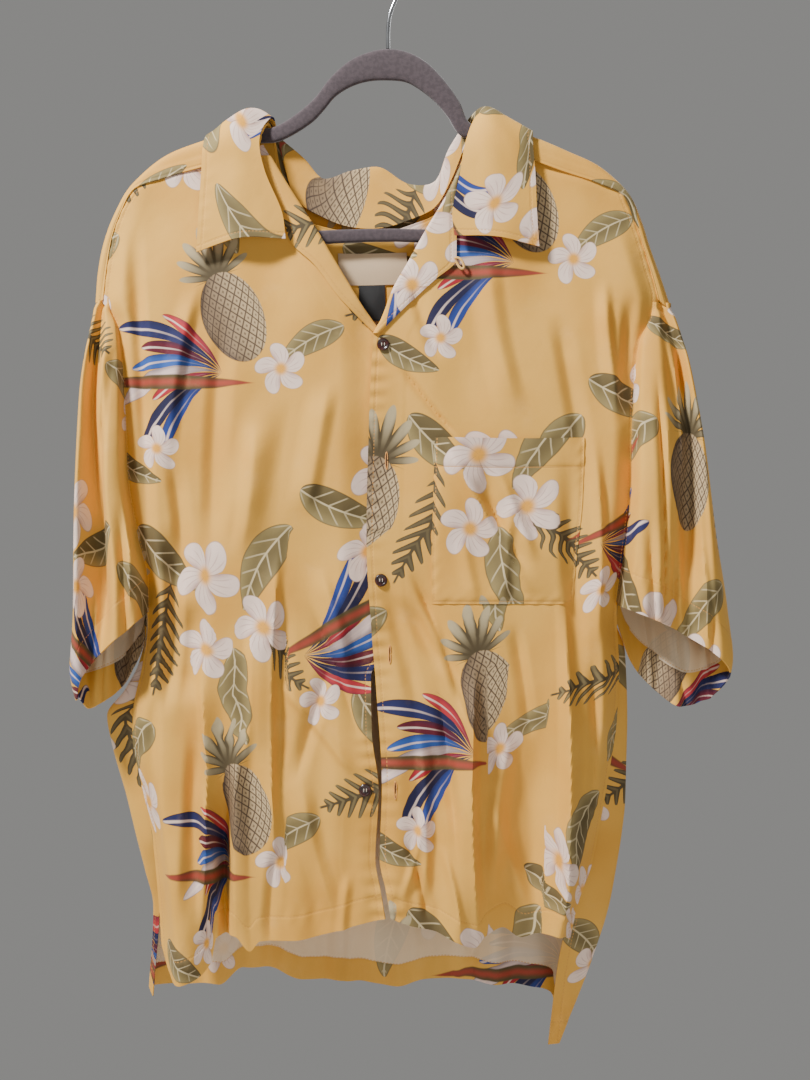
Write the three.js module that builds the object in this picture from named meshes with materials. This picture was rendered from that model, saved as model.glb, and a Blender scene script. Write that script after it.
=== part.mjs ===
// A short-sleeved hawaiian shirt hanging open at the hem on a slim hanger, in millimetres, +Z up.
// The origin is where the hook rests on a rail. The shirt's front faces -Y, and +X is the wearer's left.
// "Drop" is the distance below the origin, so z = -drop. "Forward" is the distance towards the front,
// so y = -forward. Right and left are the wearer's.
import * as THREE from 'three';
import { mergeVertices } from 'three/addons/utils/BufferGeometryUtils.js';

// Driving sizes
const CLOTH = 1.4;
const SEAM_GAP = 0.3;
const EDGE = CLOTH / 2 + SEAM_GAP;
const LAYER = 2.2;
const OVERLAP_LAYER = 5.2;
const HANGER_THICKNESS = 6;
const HANGER_CLEARANCE = 2.3;
const HOOK_WIRE = 3.6;
const HOOK_RADIUS = 20;
const BUTTON_RADIUS = 5.7;
const BUTTON_THICKNESS = 2;
const POCKET_LIFT = 2.8;

// Tables: the column names are written once, and each row becomes an object.
function table(columns, rows) {
  const names = columns.split(' ');
  return rows.map((row) => Object.fromEntries(names.map((name, i) => [name, row[i]])));
}

// A smooth curve through one column of a table, which never overshoots its rows.
function curve(rows, key, column) {
  const at = rows.map((row) => row[key]);
  const value = rows.map((row) => row[column]);
  const last = at.length - 1;
  const step = at.slice(1).map((here, i) => (value[i + 1] - value[i]) / (here - at[i]));
  const slope = at.map((_, i) => {
    if (i === 0) return step[0];
    if (i === last) return step[last - 1];
    if (step[i - 1] * step[i] <= 0) return 0;
    return (2 * step[i - 1] * step[i]) / (step[i - 1] + step[i]);
  });
  return (position) => {
    if (position <= at[0]) return value[0];
    if (position >= at[last]) return value[last];
    const i = at.findIndex((here) => here > position) - 1;
    const width = at[i + 1] - at[i];
    const t = (position - at[i]) / width;
    const rise = value[i + 1] - value[i];
    const a = slope[i] * width - rise;
    const b = rise - slope[i + 1] * width;
    return value[i] + t * rise + t * (1 - t) * (a * (1 - t) + b * t);
  };
}

const mix = (a, b, t) => a + (b - a) * t;
const clamp01 = (t) => Math.min(1, Math.max(0, t));
const smooth = (t) => clamp01(t) ** 2 * (3 - 2 * clamp01(t));
const point = (x, forward, drop) => new THREE.Vector3(x, -forward, -drop);

// Outline of each front. "Inner" is the roll line and then the free edge, "outer" is the
// shoulder's droop, the armhole and then the side seam.
const RIGHT_INNER = table('drop x', [
  [180, -113], [218, -90], [260, -63], [286, -48], [308, -35], [328, -23], [345, -11], [365, 4],
  [390, 17], [450, 19], [600, 19], [632, 3], [660, -15], [710, -14], [760, -8], [821, -11],
  [850, -6], [880, -1],
]);
const RIGHT_OUTER = table('drop x', [
  [220, -230], [240, -242], [262, -250], [290, -255], [320, -258], [346, -247], [373, -243],
  [437, -239], [480, -237], [533, -228], [575, -219], [606, -219], [650, -223], [690, -231],
  [712, -232], [762, -223], [800, -215], [850, -209], [925, -202],
]);
const LEFT_INNER = table('drop x', [
  [172, 78], [222, 56], [255, 36], [284, 20], [311, 5], [339, -5], [356, -13], [438, -17],
  [538, -19], [611, -15], [674, -10], [758, -5], [821, -7], [850, -1], [880, 4],
]);
const LEFT_OUTER = table('drop x', [
  [226, 214], [245, 222], [264, 229], [292, 237], [320, 244], [336, 240.5], [360, 229],
  [392, 225], [423, 223], [500, 220], [552, 214], [606, 208], [650, 210], [700, 208],
  [742, 202], [777, 196], [828, 186], [870, 171], [905, 163],
]);

// The seam between each front and the yoke, and the hem, across each front's width from the inner edge.
const RIGHT_TOP = table('across drop', [[0, 184], [0.3, 192], [0.57, 202], [0.8, 210], [1, 221]]);
const LEFT_TOP = table('across drop', [[0, 177], [0.3, 192], [0.6, 206], [0.85, 218], [1, 227]]);
const RIGHT_HEM = table('across drop', [
  [0, 874], [0.1, 878], [0.22, 885], [0.4, 893], [0.55, 894], [0.6, 903], [0.66, 890],
  [0.74, 891], [0.78, 915], [0.85, 927], [0.93, 931], [0.97, 922], [1, 903],
]);
const LEFT_HEM = table('across drop', [
  [0, 873], [0.1, 880], [0.25, 886], [0.35, 893], [0.46, 899], [0.51, 890], [0.6, 884],
  [0.72, 894], [0.83, 889], [0.93, 890], [1, 898],
]);

// How far the front hangs forward of the hanger, and how deep its armhole and side edges lie.
const FRONT_BODY = table('drop forward', [
  [170, 8], [230, 9], [300, 14], [400, 21], [500, 26], [600, 30], [720, 35], [930, 40],
]);
const FRONT_EDGE = table('drop forward', [
  [220, 8], [262, 7], [322, 8], [373, 12], [450, 15], [540, 16], [590, 12], [625, 9], [700, 11],
  [800, 11], [870, 16], [930, 22],
]);
const EDGE_TURN = 20;
const FRONT_COLUMNS = 16;

// Folds of the fronts. The axis runs from x at its top to x at its foot, and a negative depth is a trough.
const FRONT_FOLDS = table('name top foot xTop xFoot width depth', [
  ['right armhole trough', 240, 575, -231, -212, 11, -7],
  ['right chest highlight', 400, 545, -106, -136, 24, 5],
  ['right soft band', 590, 690, -176, -180, 20, -8],
  ['right placket crease', 575, 790, -98, -98, 18, -7],
  ['right middle pleat', 690, 890, -170, -176, 12, -7],
  ['right deep pleat', 740, 990, -147, -143, 22, -24],
  ['right side trough', 640, 870, -213, -208, 12, -7],
  ['right hem roll', 760, 990, -182, -184, 24, 8],
  ['left armhole trough', 310, 440, 220, 212, 11, -7],
  ['left side crease', 450, 710, 163, 168, 15, -7],
  ['left box pleat', 665, 990, 122, 116, 42, -17],
  ['left pleat edge', 670, 990, 164, 160, 13, 7],
  ['left inner roll', 690, 990, 66, 60, 26, 6],
  ['left soft diagonal', 585, 665, 8, 60, 15, -5],
  ['left low crease', 710, 800, 42, 62, 13, -5],
  ['left drag line', 570, 700, -2, 30, 12, -4],
]);

// Folds of the back, where a positive depth moves the cloth away from the hanger.
const BACK_FOLDS = table('name top foot xTop xFoot width depth', [
  ['right shoulder blade', 420, 720, -150, -165, 34, 6],
  ['right side roll', 560, 1010, -190, -182, 24, 8],
  ['right back pleat', 640, 1010, -120, -128, 20, -7],
  ['middle right roll', 520, 1010, -60, -72, 36, 7],
  ['middle pleat', 600, 1010, -10, -16, 22, -6],
  ['middle left roll', 500, 1010, 48, 52, 34, 7],
  ['left back pleat', 620, 1010, 100, 96, 22, -7],
  ['left side roll', 560, 1010, 158, 140, 26, 8],
]);

// The back's side edges: the seam, then the turn round the side, which is the shirt's outline.
const BACK_RIGHT = table('drop seamX seamForward turnX turnForward', [
  [330, -249, -5, -246, -9], [400, -240, -6, -236, -10], [500, -234, -6, -230, -10],
  [575, -219, -4, -216, -9], [606, -219, -2, -218, -6], [650, -223, 7, -227, -2],
  [675, -229, 9, -240, -1], [698, -232, 11, -256, -1], [722, -231, 11, -252, -1],
  [772, -220, 11, -238, -1], [806, -215, 8, -230, -2], [840, -213, 0, -222, -5],
  [873, -214, -4, -215, -8], [957, -221, -9, -220, -13],
]);
const BACK_LEFT = table('drop seamX seamForward turnX turnForward', [
  [330, 237, -5, 234, -9], [400, 224, -6, 220, -10], [500, 220, -6, 216, -10],
  [575, 211, -4, 208, -9], [606, 208, -2, 207, -6], [640, 210, 7, 216, -2],
  [700, 208, 11, 218, -1], [742, 202, 11, 217, -1], [777, 196, 11, 216, -1],
  [806, 191, 8, 213, -2], [840, 183, 9, 208, -5], [873, 171, 9, 202, -7],
  [923, 160, 4, 187, -11], [1001, 152, -8, 157, -13],
]);
const BACK_BODY = table('drop forward', [[330, -10], [450, -13], [600, -16], [800, -20], [1000, -24]]);
const YOKE_DROP = 334;
const BACK_HEM = table('across drop', [
  [0, 957], [0.07, 948], [0.22, 950], [0.27, 932], [0.33, 935], [0.38, 946], [0.48, 946],
  [0.54, 951], [0.62, 944], [0.72, 948], [0.82, 952], [0.855, 958], [0.875, 988], [0.9, 1000],
  [1, 1001],
]);

// The yoke's sections from the right armhole round the neck to the left armhole: its front or neck
// edge, its ridge over the hanger, and its lower seam on the back.
const YOKE = table('edgeX edgeForward edgeDrop ridgeX ridgeForward ridgeDrop backX backDrop', [
  [-258, 8, 320, -266, 0, 320, -250, 332], [-255, 7, 290, -264, 0, 294, -246, 331],
  [-250, 7, 262, -259, 0, 268, -238, 330], [-242, 7, 240, -250, 0, 243, -228, 330],
  [-230, 8, 220, -235, 0, 217, -212, 330], [-203, 9, 210, -205, 0, 190, -180, 330],
  [-168, 9, 200, -169, 0, 175, -145, 330], [-136, 9, 191, -137, 0, 166, -120, 330],
  [-119, 9, 184, -117, 0, 160, -104, 330], [-114, 7.5, 168, -112, 0, 159.5, -100, 330],
  [-110, 0, 157.5, -107, -6.5, 162, -96, 330], [-106, -6.5, 164, -103, -9, 186, -91, 330],
  [-97, -9.6, 204, -93, -9.6, 232, -82, 330], [-82, -9.6, 240, -78, -9.6, 262, -68, 330],
  [-38, -9.6, 255, -37, -9.6, 276, -33, 330], [-6, -9.6, 256, -6, -9.6, 277, -3, 330],
  [23, -9.6, 248, 24, -9.6, 270, 26, 330], [46, -9.6, 237, 48, -9.6, 260, 50, 330],
  [62, -9.6, 210, 66, -9.6, 230, 68, 330],
  [79, -6.5, 164, 77, -9, 186, 78, 330], [85, 0, 154.5, 82, -7, 160, 86, 330],
  [86.5, 7.5, 165, 90, 0, 156.5, 92, 330], [90, 9, 178, 97, 0, 160, 101, 330],
  [108, 9, 185, 109, 0, 163.5, 116, 330],
  [132, 9, 194, 132, 0, 171, 136, 330], [162, 9, 205, 163, 0, 184, 164, 330],
  [192, 9, 215, 194, 0, 199, 190, 330], [214, 8, 226, 220, 0, 224, 206, 330],
  [222, 7, 245, 231, 0, 248, 216, 330], [229, 7, 264, 238, 0, 270, 224, 331],
  [238, 7, 292, 248, 0, 298, 232, 331], [245, 8, 320, 257, 0, 325, 240, 332],
]);
const RIDGE_HALF_WIDTH = 6;
const RIDGE_FALL = 2.5;
const YOKE_ROWS = 9;

// The collar's sections from the right leaf's end round the neck to the left leaf's end: the neck
// seam, the turn (or a leaf's middle), and the outer edge.
const COLLAR = table('seamX seamForward seamDrop turnX turnForward turnDrop edgeX edgeForward edgeDrop', [
  [-92, 20, 267, -132, 25, 267, -172, 20, 279], [-95, 19, 244, -134, 23, 241, -170, 19, 240],
  [-111, 18, 205, -138, 20, 202, -168, 16, 205], [-116, 16, 180, -142, 18, 174, -167, 13, 184],
  [-113, 8, 163, -130, 8, 150, -164, 4, 170], [-105, 0, 153, -121, 0, 145, -158, -2, 167],
  [-102, -7, 164, -112, -8, 152, -150, -15, 184], [-96, -7.6, 190, -101, -10, 168, -128, -20, 214],
  [-84, -7.6, 226, -77, -12, 188, -98, -22, 256], [-60, -7.6, 242, -60, -13, 206, -68, -23, 272],
  [-35, -7.6, 251, -35, -13, 199, -37, -23, 270], [-6, -7.6, 252, -8, -13, 196, -6, -23, 268],
  [21, -7.6, 244, 19, -13, 211, 25, -23, 273], [43, -7.6, 233, 43, -13, 209, 52, -23, 268],
  [58, -7.6, 208, 56, -11, 180, 80, -21, 246], [71, -7.6, 176, 70, -9, 158, 108, -18, 204],
  [80, -7, 160, 78, -8, 148, 122, -14, 184], [83, -4, 152, 84, -3, 144, 127, -9, 169],
  [84, 1, 150, 90, 1, 144, 129, 1, 166], [80, 6, 154, 91, 8, 149, 131, 8, 168],
  [75, 10, 164, 92, 14, 159, 131, 12, 179], [69, 15, 184, 98, 19, 174, 132, 14, 194],
  [65, 18, 208, 98, 21, 205, 133, 16, 210], [58, 19, 244, 96, 23, 241, 134, 19, 241],
  [60, 20, 264, 98, 25, 266, 136, 20, 274],
]);

// The lapels: the inner edge is the front's roll line, and this is the outer edge.
const LAPEL_RIGHT = table('drop x', [
  [190, -119], [218, -105], [250, -94], [268, -88], [290, -66], [320, -43], [352, -11],
]);
const LAPEL_LEFT = table('drop x', [
  [190, 70], [222, 63], [255, 62], [284, 62], [304, 42], [322, 22], [352, -8],
]);

// The sleeves by height: the armhole seam, the outer edge, how far they stand forward and back,
// and where the long valley down their front lies.
const SLEEVE_RIGHT = table('drop edge front back valley', [
  [326, -267, 12, -8, -259], [345, -270, 18, -13, -261], [373, -274, 26, -18, -265],
  [406, -278, 34, -22, -266], [460, -281, 42, -28, -264], [530, -283, 46, -30, -260],
  [600, -283, 50, -22, -258], [650, -284, 50, 0, -260], [696, -274, 46, 14, -262],
]);
const SLEEVE_LEFT = table('drop edge front back valley', [
  [331, 260, 12, -8, 251], [350, 266, 18, -13, 256], [373, 272, 26, -18, 261],
  [406, 278, 34, -22, 265], [460, 287, 42, -28, 271], [530, 296, 46, -30, 270],
  [600, 306, 50, -22, 262], [640, 309, 50, -6, 262], [692, 296, 46, 8, 262],
]);
const SLEEVE_RIGHT_TOP = table('across drop', [[0, 330], [0.5, 325], [1, 340]]);
const SLEEVE_LEFT_TOP = table('across drop', [[0, 331], [0.5, 332], [1, 341]]);
const SLEEVE_RIGHT_HEM = table('across drop', [
  [0, 600], [0.12, 614], [0.25, 634], [0.36, 658], [0.44, 680], [0.5, 674], [0.58, 690],
  [0.7, 684], [0.82, 672], [0.92, 648], [1, 596],
]);
const SLEEVE_LEFT_HEM = table('across drop', [
  [0, 595], [0.12, 602], [0.25, 614], [0.36, 632], [0.44, 648], [0.5, 662], [0.58, 682],
  [0.68, 688], [0.8, 672], [0.92, 644], [1, 596],
]);

// The round of a sleeve's section: how far out from seam to edge, and how far forward (1) or back (-1).
const SLEEVE_ROUND = table('across out depth', [
  [0, 0, 0.3], [0.1, 0.12, 0.85], [0.2, 0.34, 1], [0.3, 0.62, 0.3], [0.4, 0.86, 0.75],
  [0.5, 1, 0], [0.6, 0.84, -0.8], [0.7, 0.6, -0.3], [0.8, 0.36, -1], [0.9, 0.16, -0.75],
  [1, 0, -0.2],
]);
const VALLEY_ACROSS = 0.3;
const SEAM_ACROSS = 0.1;

// Small pieces
const POCKET = { innerColumn: 4, outerColumn: 13, top: 446, foot: 595 };
const POCKET_GAPE = 10;
const BUTTONS = table('name x drop', [
  ['button_1', -4, 362], ['button_2', -4, 467], ['button_3', -6, 574], ['button_4', -4, 640],
  ['button_5', -20, 760],
]);
const NECK_LABEL = { left: -46, right: 17, top: 275, foot: 304, forward: -8.1 };
const SIZE_TAB = { left: -27, right: -3, top: 304.4, foot: 337, forward: -8.1 };
const LOOP_RADIUS = 0.9;
const LABEL_THICKNESS = 1;

// Hanger: the neck arch's outer and inner line, the arms' depth, and the trouser bar.
const ARCH = table('outerX outerDrop innerX innerDrop', [
  [-79, 146, -70, 158], [-66, 134, -59, 147], [-53, 117, -48, 134], [-35, 101, -34, 125],
  [-17, 93, -18, 120], [0, 90, 0, 119], [18, 93, 17, 121], [36, 103, 31, 129],
  [54, 122, 43, 139], [65, 138, 54, 152], [75, 158, 66, 169],
]);
const ARM_DEPTH = 13;
const ARM_TIP = { right: -224, left: 216, drop: 244 };
const BAR = { top: 254, foot: 266, inset: 12 };
const HANGER_ROUND = 0.3;

// Materials
const cloth = new THREE.MeshStandardMaterial({ color: '#e5ba75', roughness: 0.8, side: THREE.DoubleSide });
const button = new THREE.MeshStandardMaterial({ color: '#3c1919', roughness: 0.4 });
const labelCloth = new THREE.MeshStandardMaterial({ color: '#e4ddd0', roughness: 0.9 });
const tabCloth = new THREE.MeshStandardMaterial({ color: '#1d1c1e', roughness: 0.9 });
const flock = new THREE.MeshStandardMaterial({ color: '#4e4246', roughness: 1 });
const chrome = new THREE.MeshStandardMaterial({ color: '#c9ccd0', roughness: 0.15, metalness: 1 });

// A grid of points over a piece of cloth, from a function of two shares from 0 to 1.
function grid(columns, rows, place) {
  return Array.from({ length: rows + 1 }, (_, j) =>
    Array.from({ length: columns + 1 }, (_, i) => place(i / columns, j / rows)));
}

function gridNormal(points, j, i) {
  const up = points[Math.max(0, j - 1)][i];
  const down = points[Math.min(points.length - 1, j + 1)][i];
  const before = points[j][Math.max(0, i - 1)];
  const after = points[j][Math.min(points[j].length - 1, i + 1)];
  return after.clone().sub(before).cross(down.clone().sub(up)).normalize();
}

// A closed wall of cloth: the grid moved half its thickness to both sides, with its four rims.
function clothWall(points, thickness = CLOTH) {
  const rows = points.length;
  const columns = points[0].length;
  const positions = [];
  for (const side of [-1, 1]) {
    for (let j = 0; j < rows; j += 1) {
      for (let i = 0; i < columns; i += 1) {
        const moved = points[j][i].clone().addScaledVector(gridNormal(points, j, i), (side * thickness) / 2);
        positions.push(...moved.toArray());
      }
    }
  }
  const index = (side, j, i) => (side * rows + j) * columns + i;
  const faces = [];
  const quad = (a, b, c, d) => faces.push(a, b, c, a, c, d);
  for (let j = 0; j + 1 < rows; j += 1) {
    for (let i = 0; i + 1 < columns; i += 1) {
      quad(index(0, j, i), index(0, j, i + 1), index(0, j + 1, i + 1), index(0, j + 1, i));
      quad(index(1, j, i), index(1, j + 1, i), index(1, j + 1, i + 1), index(1, j, i + 1));
    }
  }
  const foot = rows - 1;
  for (let i = 0; i + 1 < columns; i += 1) {
    quad(index(0, 0, i + 1), index(0, 0, i), index(1, 0, i), index(1, 0, i + 1));
    quad(index(0, foot, i), index(0, foot, i + 1), index(1, foot, i + 1), index(1, foot, i));
  }
  const far = columns - 1;
  for (let j = 0; j + 1 < rows; j += 1) {
    quad(index(0, j, 0), index(0, j + 1, 0), index(1, j + 1, 0), index(1, j, 0));
    quad(index(0, j + 1, far), index(0, j, far), index(1, j, far), index(1, j + 1, far));
  }
  return facingOut(meshOf(positions, faces));
}

function meshOf(positions, faces) {
  const geometry = new THREE.BufferGeometry();
  geometry.setAttribute('position', new THREE.Float32BufferAttribute(positions, 3));
  geometry.setIndex(faces);
  return geometry;
}

// Shares a closed mesh's vertices, leaves out its empty faces and turns the others outwards.
function facingOut(geometry) {
  const merged = mergeVertices(geometry, 1e-4);
  const p = merged.getAttribute('position');
  const corners = merged.getIndex().array;
  const faces = [];
  let volume = 0;
  for (let i = 0; i < corners.length; i += 3) {
    const [i0, i1, i2] = corners.slice(i, i + 3);
    if (i0 !== i1 && i1 !== i2 && i2 !== i0) {
      const [a, b, c] = [i0, i1, i2].map((k) => new THREE.Vector3().fromBufferAttribute(p, k));
      volume += a.dot(b.cross(c));
      faces.push([i0, i1, i2]);
    }
  }
  merged.setIndex((volume < 0 ? faces.map((face) => face.reverse()) : faces).flat());
  merged.computeVertexNormals();
  return merged;
}

// How far a set of folds moves the cloth at a place.
function foldDepth(folds, x, drop) {
  let depth = 0;
  for (const fold of folds) {
    const along = (drop - fold.top) / (fold.foot - fold.top);
    const off = (x - mix(fold.xTop, fold.xFoot, along)) / fold.width;
    if (Math.abs(off) < 1 && along > 0 && along < 1) {
      const fade = smooth(along * 3) * smooth((1 - along) * 3);
      depth += fold.depth * fade * Math.cos((off * Math.PI) / 2) ** 2;
    }
  }
  return depth;
}

// The surface of a front: where it lies across and down, and how far forward.
function frontSurface({ inner, outer, top, hem }) {
  const innerX = curve(inner, 'drop', 'x');
  const outerX = curve(outer, 'drop', 'x');
  const topDrop = curve(top, 'across', 'drop');
  const hemDrop = curve(hem, 'across', 'drop');
  const body = curve(FRONT_BODY, 'drop', 'forward');
  const edge = curve(FRONT_EDGE, 'drop', 'forward');
  const forward = (x, drop) => {
    const toEdge = smooth(1 - Math.abs(outerX(drop) - x) / EDGE_TURN);
    const open = body(drop) + foldDepth(FRONT_FOLDS, x, drop);
    return mix(open, edge(drop), toEdge);
  };
  const inward = Math.sign(inner[0].x - outer[0].x);
  const across = (u, drop) => mix(innerX(drop), outerX(drop) + inward * EDGE, u);
  const down = (u, v) => mix(topDrop(u) + EDGE, hemDrop(u), v);
  return { innerX, outerX, edgeForward: edge, forward, across, down };
}

const rightFront = frontSurface({ inner: RIGHT_INNER, outer: RIGHT_OUTER, top: RIGHT_TOP, hem: RIGHT_HEM });
const leftFront = frontSurface({ inner: LEFT_INNER, outer: LEFT_OUTER, top: LEFT_TOP, hem: LEFT_HEM });

// The right front lies one layer behind the left one where they lap, between these drops.
function lapBehind(x, drop) {
  const across = smooth((x + 44) / 26);
  const down = smooth((drop - 318) / 30) * smooth((692 - drop) / 36);
  return OVERLAP_LAYER * across * down;
}

const rightForward = (x, drop) => rightFront.forward(x, drop) - lapBehind(x, drop);
const leftForward = (x, drop) => leftFront.forward(x, drop);

function rightPanel() {
  return clothWall(grid(FRONT_COLUMNS, 32, (u, v) => {
    const drop = rightFront.down(u, v);
    const x = rightFront.across(u, drop);
    return point(x, rightForward(x, drop), drop);
  }));
}

function leftPanel() {
  return clothWall(grid(FRONT_COLUMNS, 32, (u, v) => {
    const drop = leftFront.down(u, v);
    const x = leftFront.across(u, drop);
    return point(x, leftForward(x, drop), drop);
  }));
}

const backBody = curve(BACK_BODY, 'drop', 'forward');
const backForward = (x, drop) => backBody(drop) - foldDepth(BACK_FOLDS, x, drop);

// The back wraps round each side from its seam, turns at the outline and runs across behind.
function backPanel() {
  const column = (rows, name) => curve(rows, 'drop', name);
  const right = ['seamX', 'seamForward', 'turnX', 'turnForward'].map((name) => column(BACK_RIGHT, name));
  const left = ['seamX', 'seamForward', 'turnX', 'turnForward'].map((name) => column(BACK_LEFT, name));
  const hemDrop = curve(BACK_HEM, 'across', 'drop');
  const turnShare = 0.06;
  const flatShare = 0.13;
  const flatInset = 24;
  const cornerInset = 6;
  return clothWall(grid(30, 22, (u, v) => {
    const drop = mix(YOKE_DROP + EDGE, hemDrop(u), v);
    const [rSeamX, rSeamY, rTurnX, rTurnY] = right.map((at) => at(drop));
    const [lSeamX, lSeamY, lTurnX, lTurnY] = left.map((at) => at(drop));
    const rFlatX = rTurnX + flatInset;
    const lFlatX = lTurnX - mix(flatInset, cornerInset, smooth((drop - 930) / 70));
    const section = table('u x forward', [
      [0, rSeamX - EDGE * Math.sign(rSeamX - rTurnX), rSeamY], [turnShare, rTurnX, rTurnY],
      [flatShare, rFlatX, backForward(rFlatX, drop)],
      [1 - flatShare, lFlatX, backForward(lFlatX, drop)], [1 - turnShare, lTurnX, lTurnY],
      [1, lSeamX - EDGE * Math.sign(lSeamX - lTurnX), lSeamY],
    ]);
    const x = curve(section, 'u', 'x')(u);
    const isFlat = u > flatShare && u < 1 - flatShare;
    return point(x, isFlat ? backForward(x, drop) : curve(section, 'u', 'forward')(u), drop);
  }));
}

// A smooth curve in space through a few points, read at a share of its length from 0 to 1.
function spine(points) {
  return new THREE.CatmullRomCurve3(points, false, 'centripetal');
}

function yokeSection(row) {
  const hangs = row.edgeForward > 0 && row.ridgeForward === 0;
  const front = point(row.edgeX, row.edgeForward, row.edgeDrop);
  const ridge = point(row.ridgeX, row.ridgeForward, row.ridgeDrop);
  const back = point(row.backX, backForward(row.backX, row.backDrop), row.backDrop);
  if (!hangs) return [front, front.clone().lerp(ridge, 0.33), front.clone().lerp(ridge, 0.67), ridge, back];
  const frontFall = ridge.clone().lerp(front, 0.25).setY(-RIDGE_HALF_WIDTH);
  frontFall.z = ridge.z - RIDGE_FALL;
  const backFall = ridge.clone().lerp(back, 0.06).setY(RIDGE_HALF_WIDTH);
  backFall.z = ridge.z - RIDGE_FALL;
  return [front, frontFall, ridge, backFall, back];
}

function yokePiece() {
  const sections = YOKE.map(yokeSection);
  const columns = sections.length - 1;
  return clothWall(grid(columns, YOKE_ROWS, (u, v) => spine(sections[Math.round(u * columns)]).getPoint(v)));
}

function collarPiece() {
  const sections = COLLAR.map((row) => spine([
    point(row.seamX, row.seamForward, row.seamDrop),
    point(row.turnX, row.turnForward, row.turnDrop),
    point(row.edgeX, row.edgeForward, row.edgeDrop),
  ]));
  const steps = 9;
  const lines = Array.from({ length: steps + 1 }, (_, k) => {
    const stations = sections.map((section) => section.getPoint(k / steps));
    return spine(stations);
  });
  return clothWall(grid(32, steps, (u, v) => lines[Math.round(v * steps)].getPoint(u)));
}

// A lapel lies on its front from the roll line out, lifted most along its middle.
function lapelPiece(front, forward, outerRows) {
  const outerX = curve(outerRows, 'drop', 'x');
  const from = outerRows[0].drop;
  const to = outerRows[outerRows.length - 1].drop;
  return clothWall(grid(4, 12, (u, v) => {
    const drop = mix(from, to, v);
    const x = mix(front.innerX(drop), outerX(drop), u);
    return point(x, forward(x, drop) + LAYER + Math.sin(u * Math.PI), drop);
  }));
}

// A sleeve runs from its front armhole seam round the outside to its back armhole seam.
function sleevePiece(rows, topRows, hemRows, front, backRows) {
  const [edge, forwardMost, backMost, valley] = ['edge', 'front', 'back', 'valley'].map(
    (name) => curve(rows, 'drop', name));
  const backSeamX = curve(backRows, 'drop', 'seamX');
  const backSeamForward = curve(backRows, 'drop', 'seamForward');
  const out = curve(SLEEVE_ROUND, 'across', 'out');
  const depth = curve(SLEEVE_ROUND, 'across', 'depth');
  const topDrop = curve(topRows, 'across', 'drop');
  const hemDrop = curve(hemRows, 'across', 'drop');
  return clothWall(grid(24, 14, (u, v) => {
    const drop = mix(topDrop(u), hemDrop(u), v);
    const seamX = mix(front.outerX(drop), backSeamX(drop), u) + Math.sign(edge(drop)) * EDGE;
    const plainValley = mix(seamX, edge(drop), out(VALLEY_ACROSS));
    const shift = (valley(drop) - plainValley) * Math.max(0, 1 - Math.abs(u - VALLEY_ACROSS) / 0.18);
    const x = mix(seamX, edge(drop), out(u)) + shift;
    const open = mix(backMost(drop), forwardMost(drop), (1 + depth(u)) / 2);
    const seamForward = u < 0.5 ? front.edgeForward(drop) : backSeamForward(drop);
    return point(x, mix(seamForward, open, smooth(Math.min(u, 1 - u) / SEAM_ACROSS)), drop);
  }));
}

// The pocket is sewn on at its sides and foot, and its open mouth gapes at the inner corner.
function pocketPiece() {
  const { innerColumn, outerColumn } = POCKET;
  return clothWall(grid(outerColumn - innerColumn, 8, (u, v) => {
    const gape = POCKET_GAPE * Math.max(0, 1 - u * 1.6) * Math.sin(Math.min(1, u * 5) * Math.PI * 0.5);
    const mouth = (1 - v) ** 2;
    const drop = mix(POCKET.top + 4 * (1 - u) * u, POCKET.foot, v);
    const x = leftFront.across(mix(innerColumn, outerColumn, u) / FRONT_COLUMNS, drop);
    return point(x, leftForward(x, drop) + POCKET_LIFT + gape * mouth, drop);
  }));
}

function flatPiece({ left, right, top, foot, forward }) {
  const corners = grid(1, 1, (u, v) => point(mix(left, right, u), forward, mix(top, foot, v)));
  return clothWall(corners, LABEL_THICKNESS);
}

// A dished button with a raised rim, turned about its own axis, which faces the front.
function buttonShape() {
  const half = BUTTON_THICKNESS / 2;
  const profile = [
    [0, -half], [BUTTON_RADIUS * 0.8, -half], [BUTTON_RADIUS, 0], [BUTTON_RADIUS * 0.9, half],
    [BUTTON_RADIUS * 0.62, half * 0.8], [BUTTON_RADIUS * 0.5, half * 0.2], [0, half * 0.2],
  ];
  return new THREE.LatheGeometry(profile.map(([radius, height]) => new THREE.Vector2(radius, height)), 12);
}

function placeButton(mesh, row) {
  const onRight = row.name !== 'button_1' && row.name !== 'button_3';
  const surface = onRight ? rightForward : leftForward;
  const step = 3;
  const rise = CLOTH / 2 + SEAM_GAP * 2 + BUTTON_THICKNESS / 2;
  const slopeX = (surface(row.x + step, row.drop) - surface(row.x - step, row.drop)) / (2 * step);
  const slopeZ = (surface(row.x, row.drop - step) - surface(row.x, row.drop + step)) / (2 * step);
  const normal = new THREE.Vector3(-slopeX, -1, -slopeZ).normalize();
  const base = point(row.x, surface(row.x, row.drop), row.drop);
  mesh.quaternion.setFromUnitVectors(new THREE.Vector3(0, 1, 0), normal);
  mesh.position.copy(base.addScaledVector(normal, rise));
}

function ropeAlong(points, radius, sides, steps) {
  const outline = new THREE.Shape();
  for (let i = 0; i < sides; i += 1) {
    const angle = (i / sides) * Math.PI * 2;
    const [x, y] = [Math.cos(angle) * radius, Math.sin(angle) * radius];
    if (i === 0) outline.moveTo(x, y);
    else outline.lineTo(x, y);
  }
  outline.closePath();
  return new THREE.ExtrudeGeometry(outline, { steps, bevelEnabled: false, extrudePath: spine(points) });
}

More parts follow.
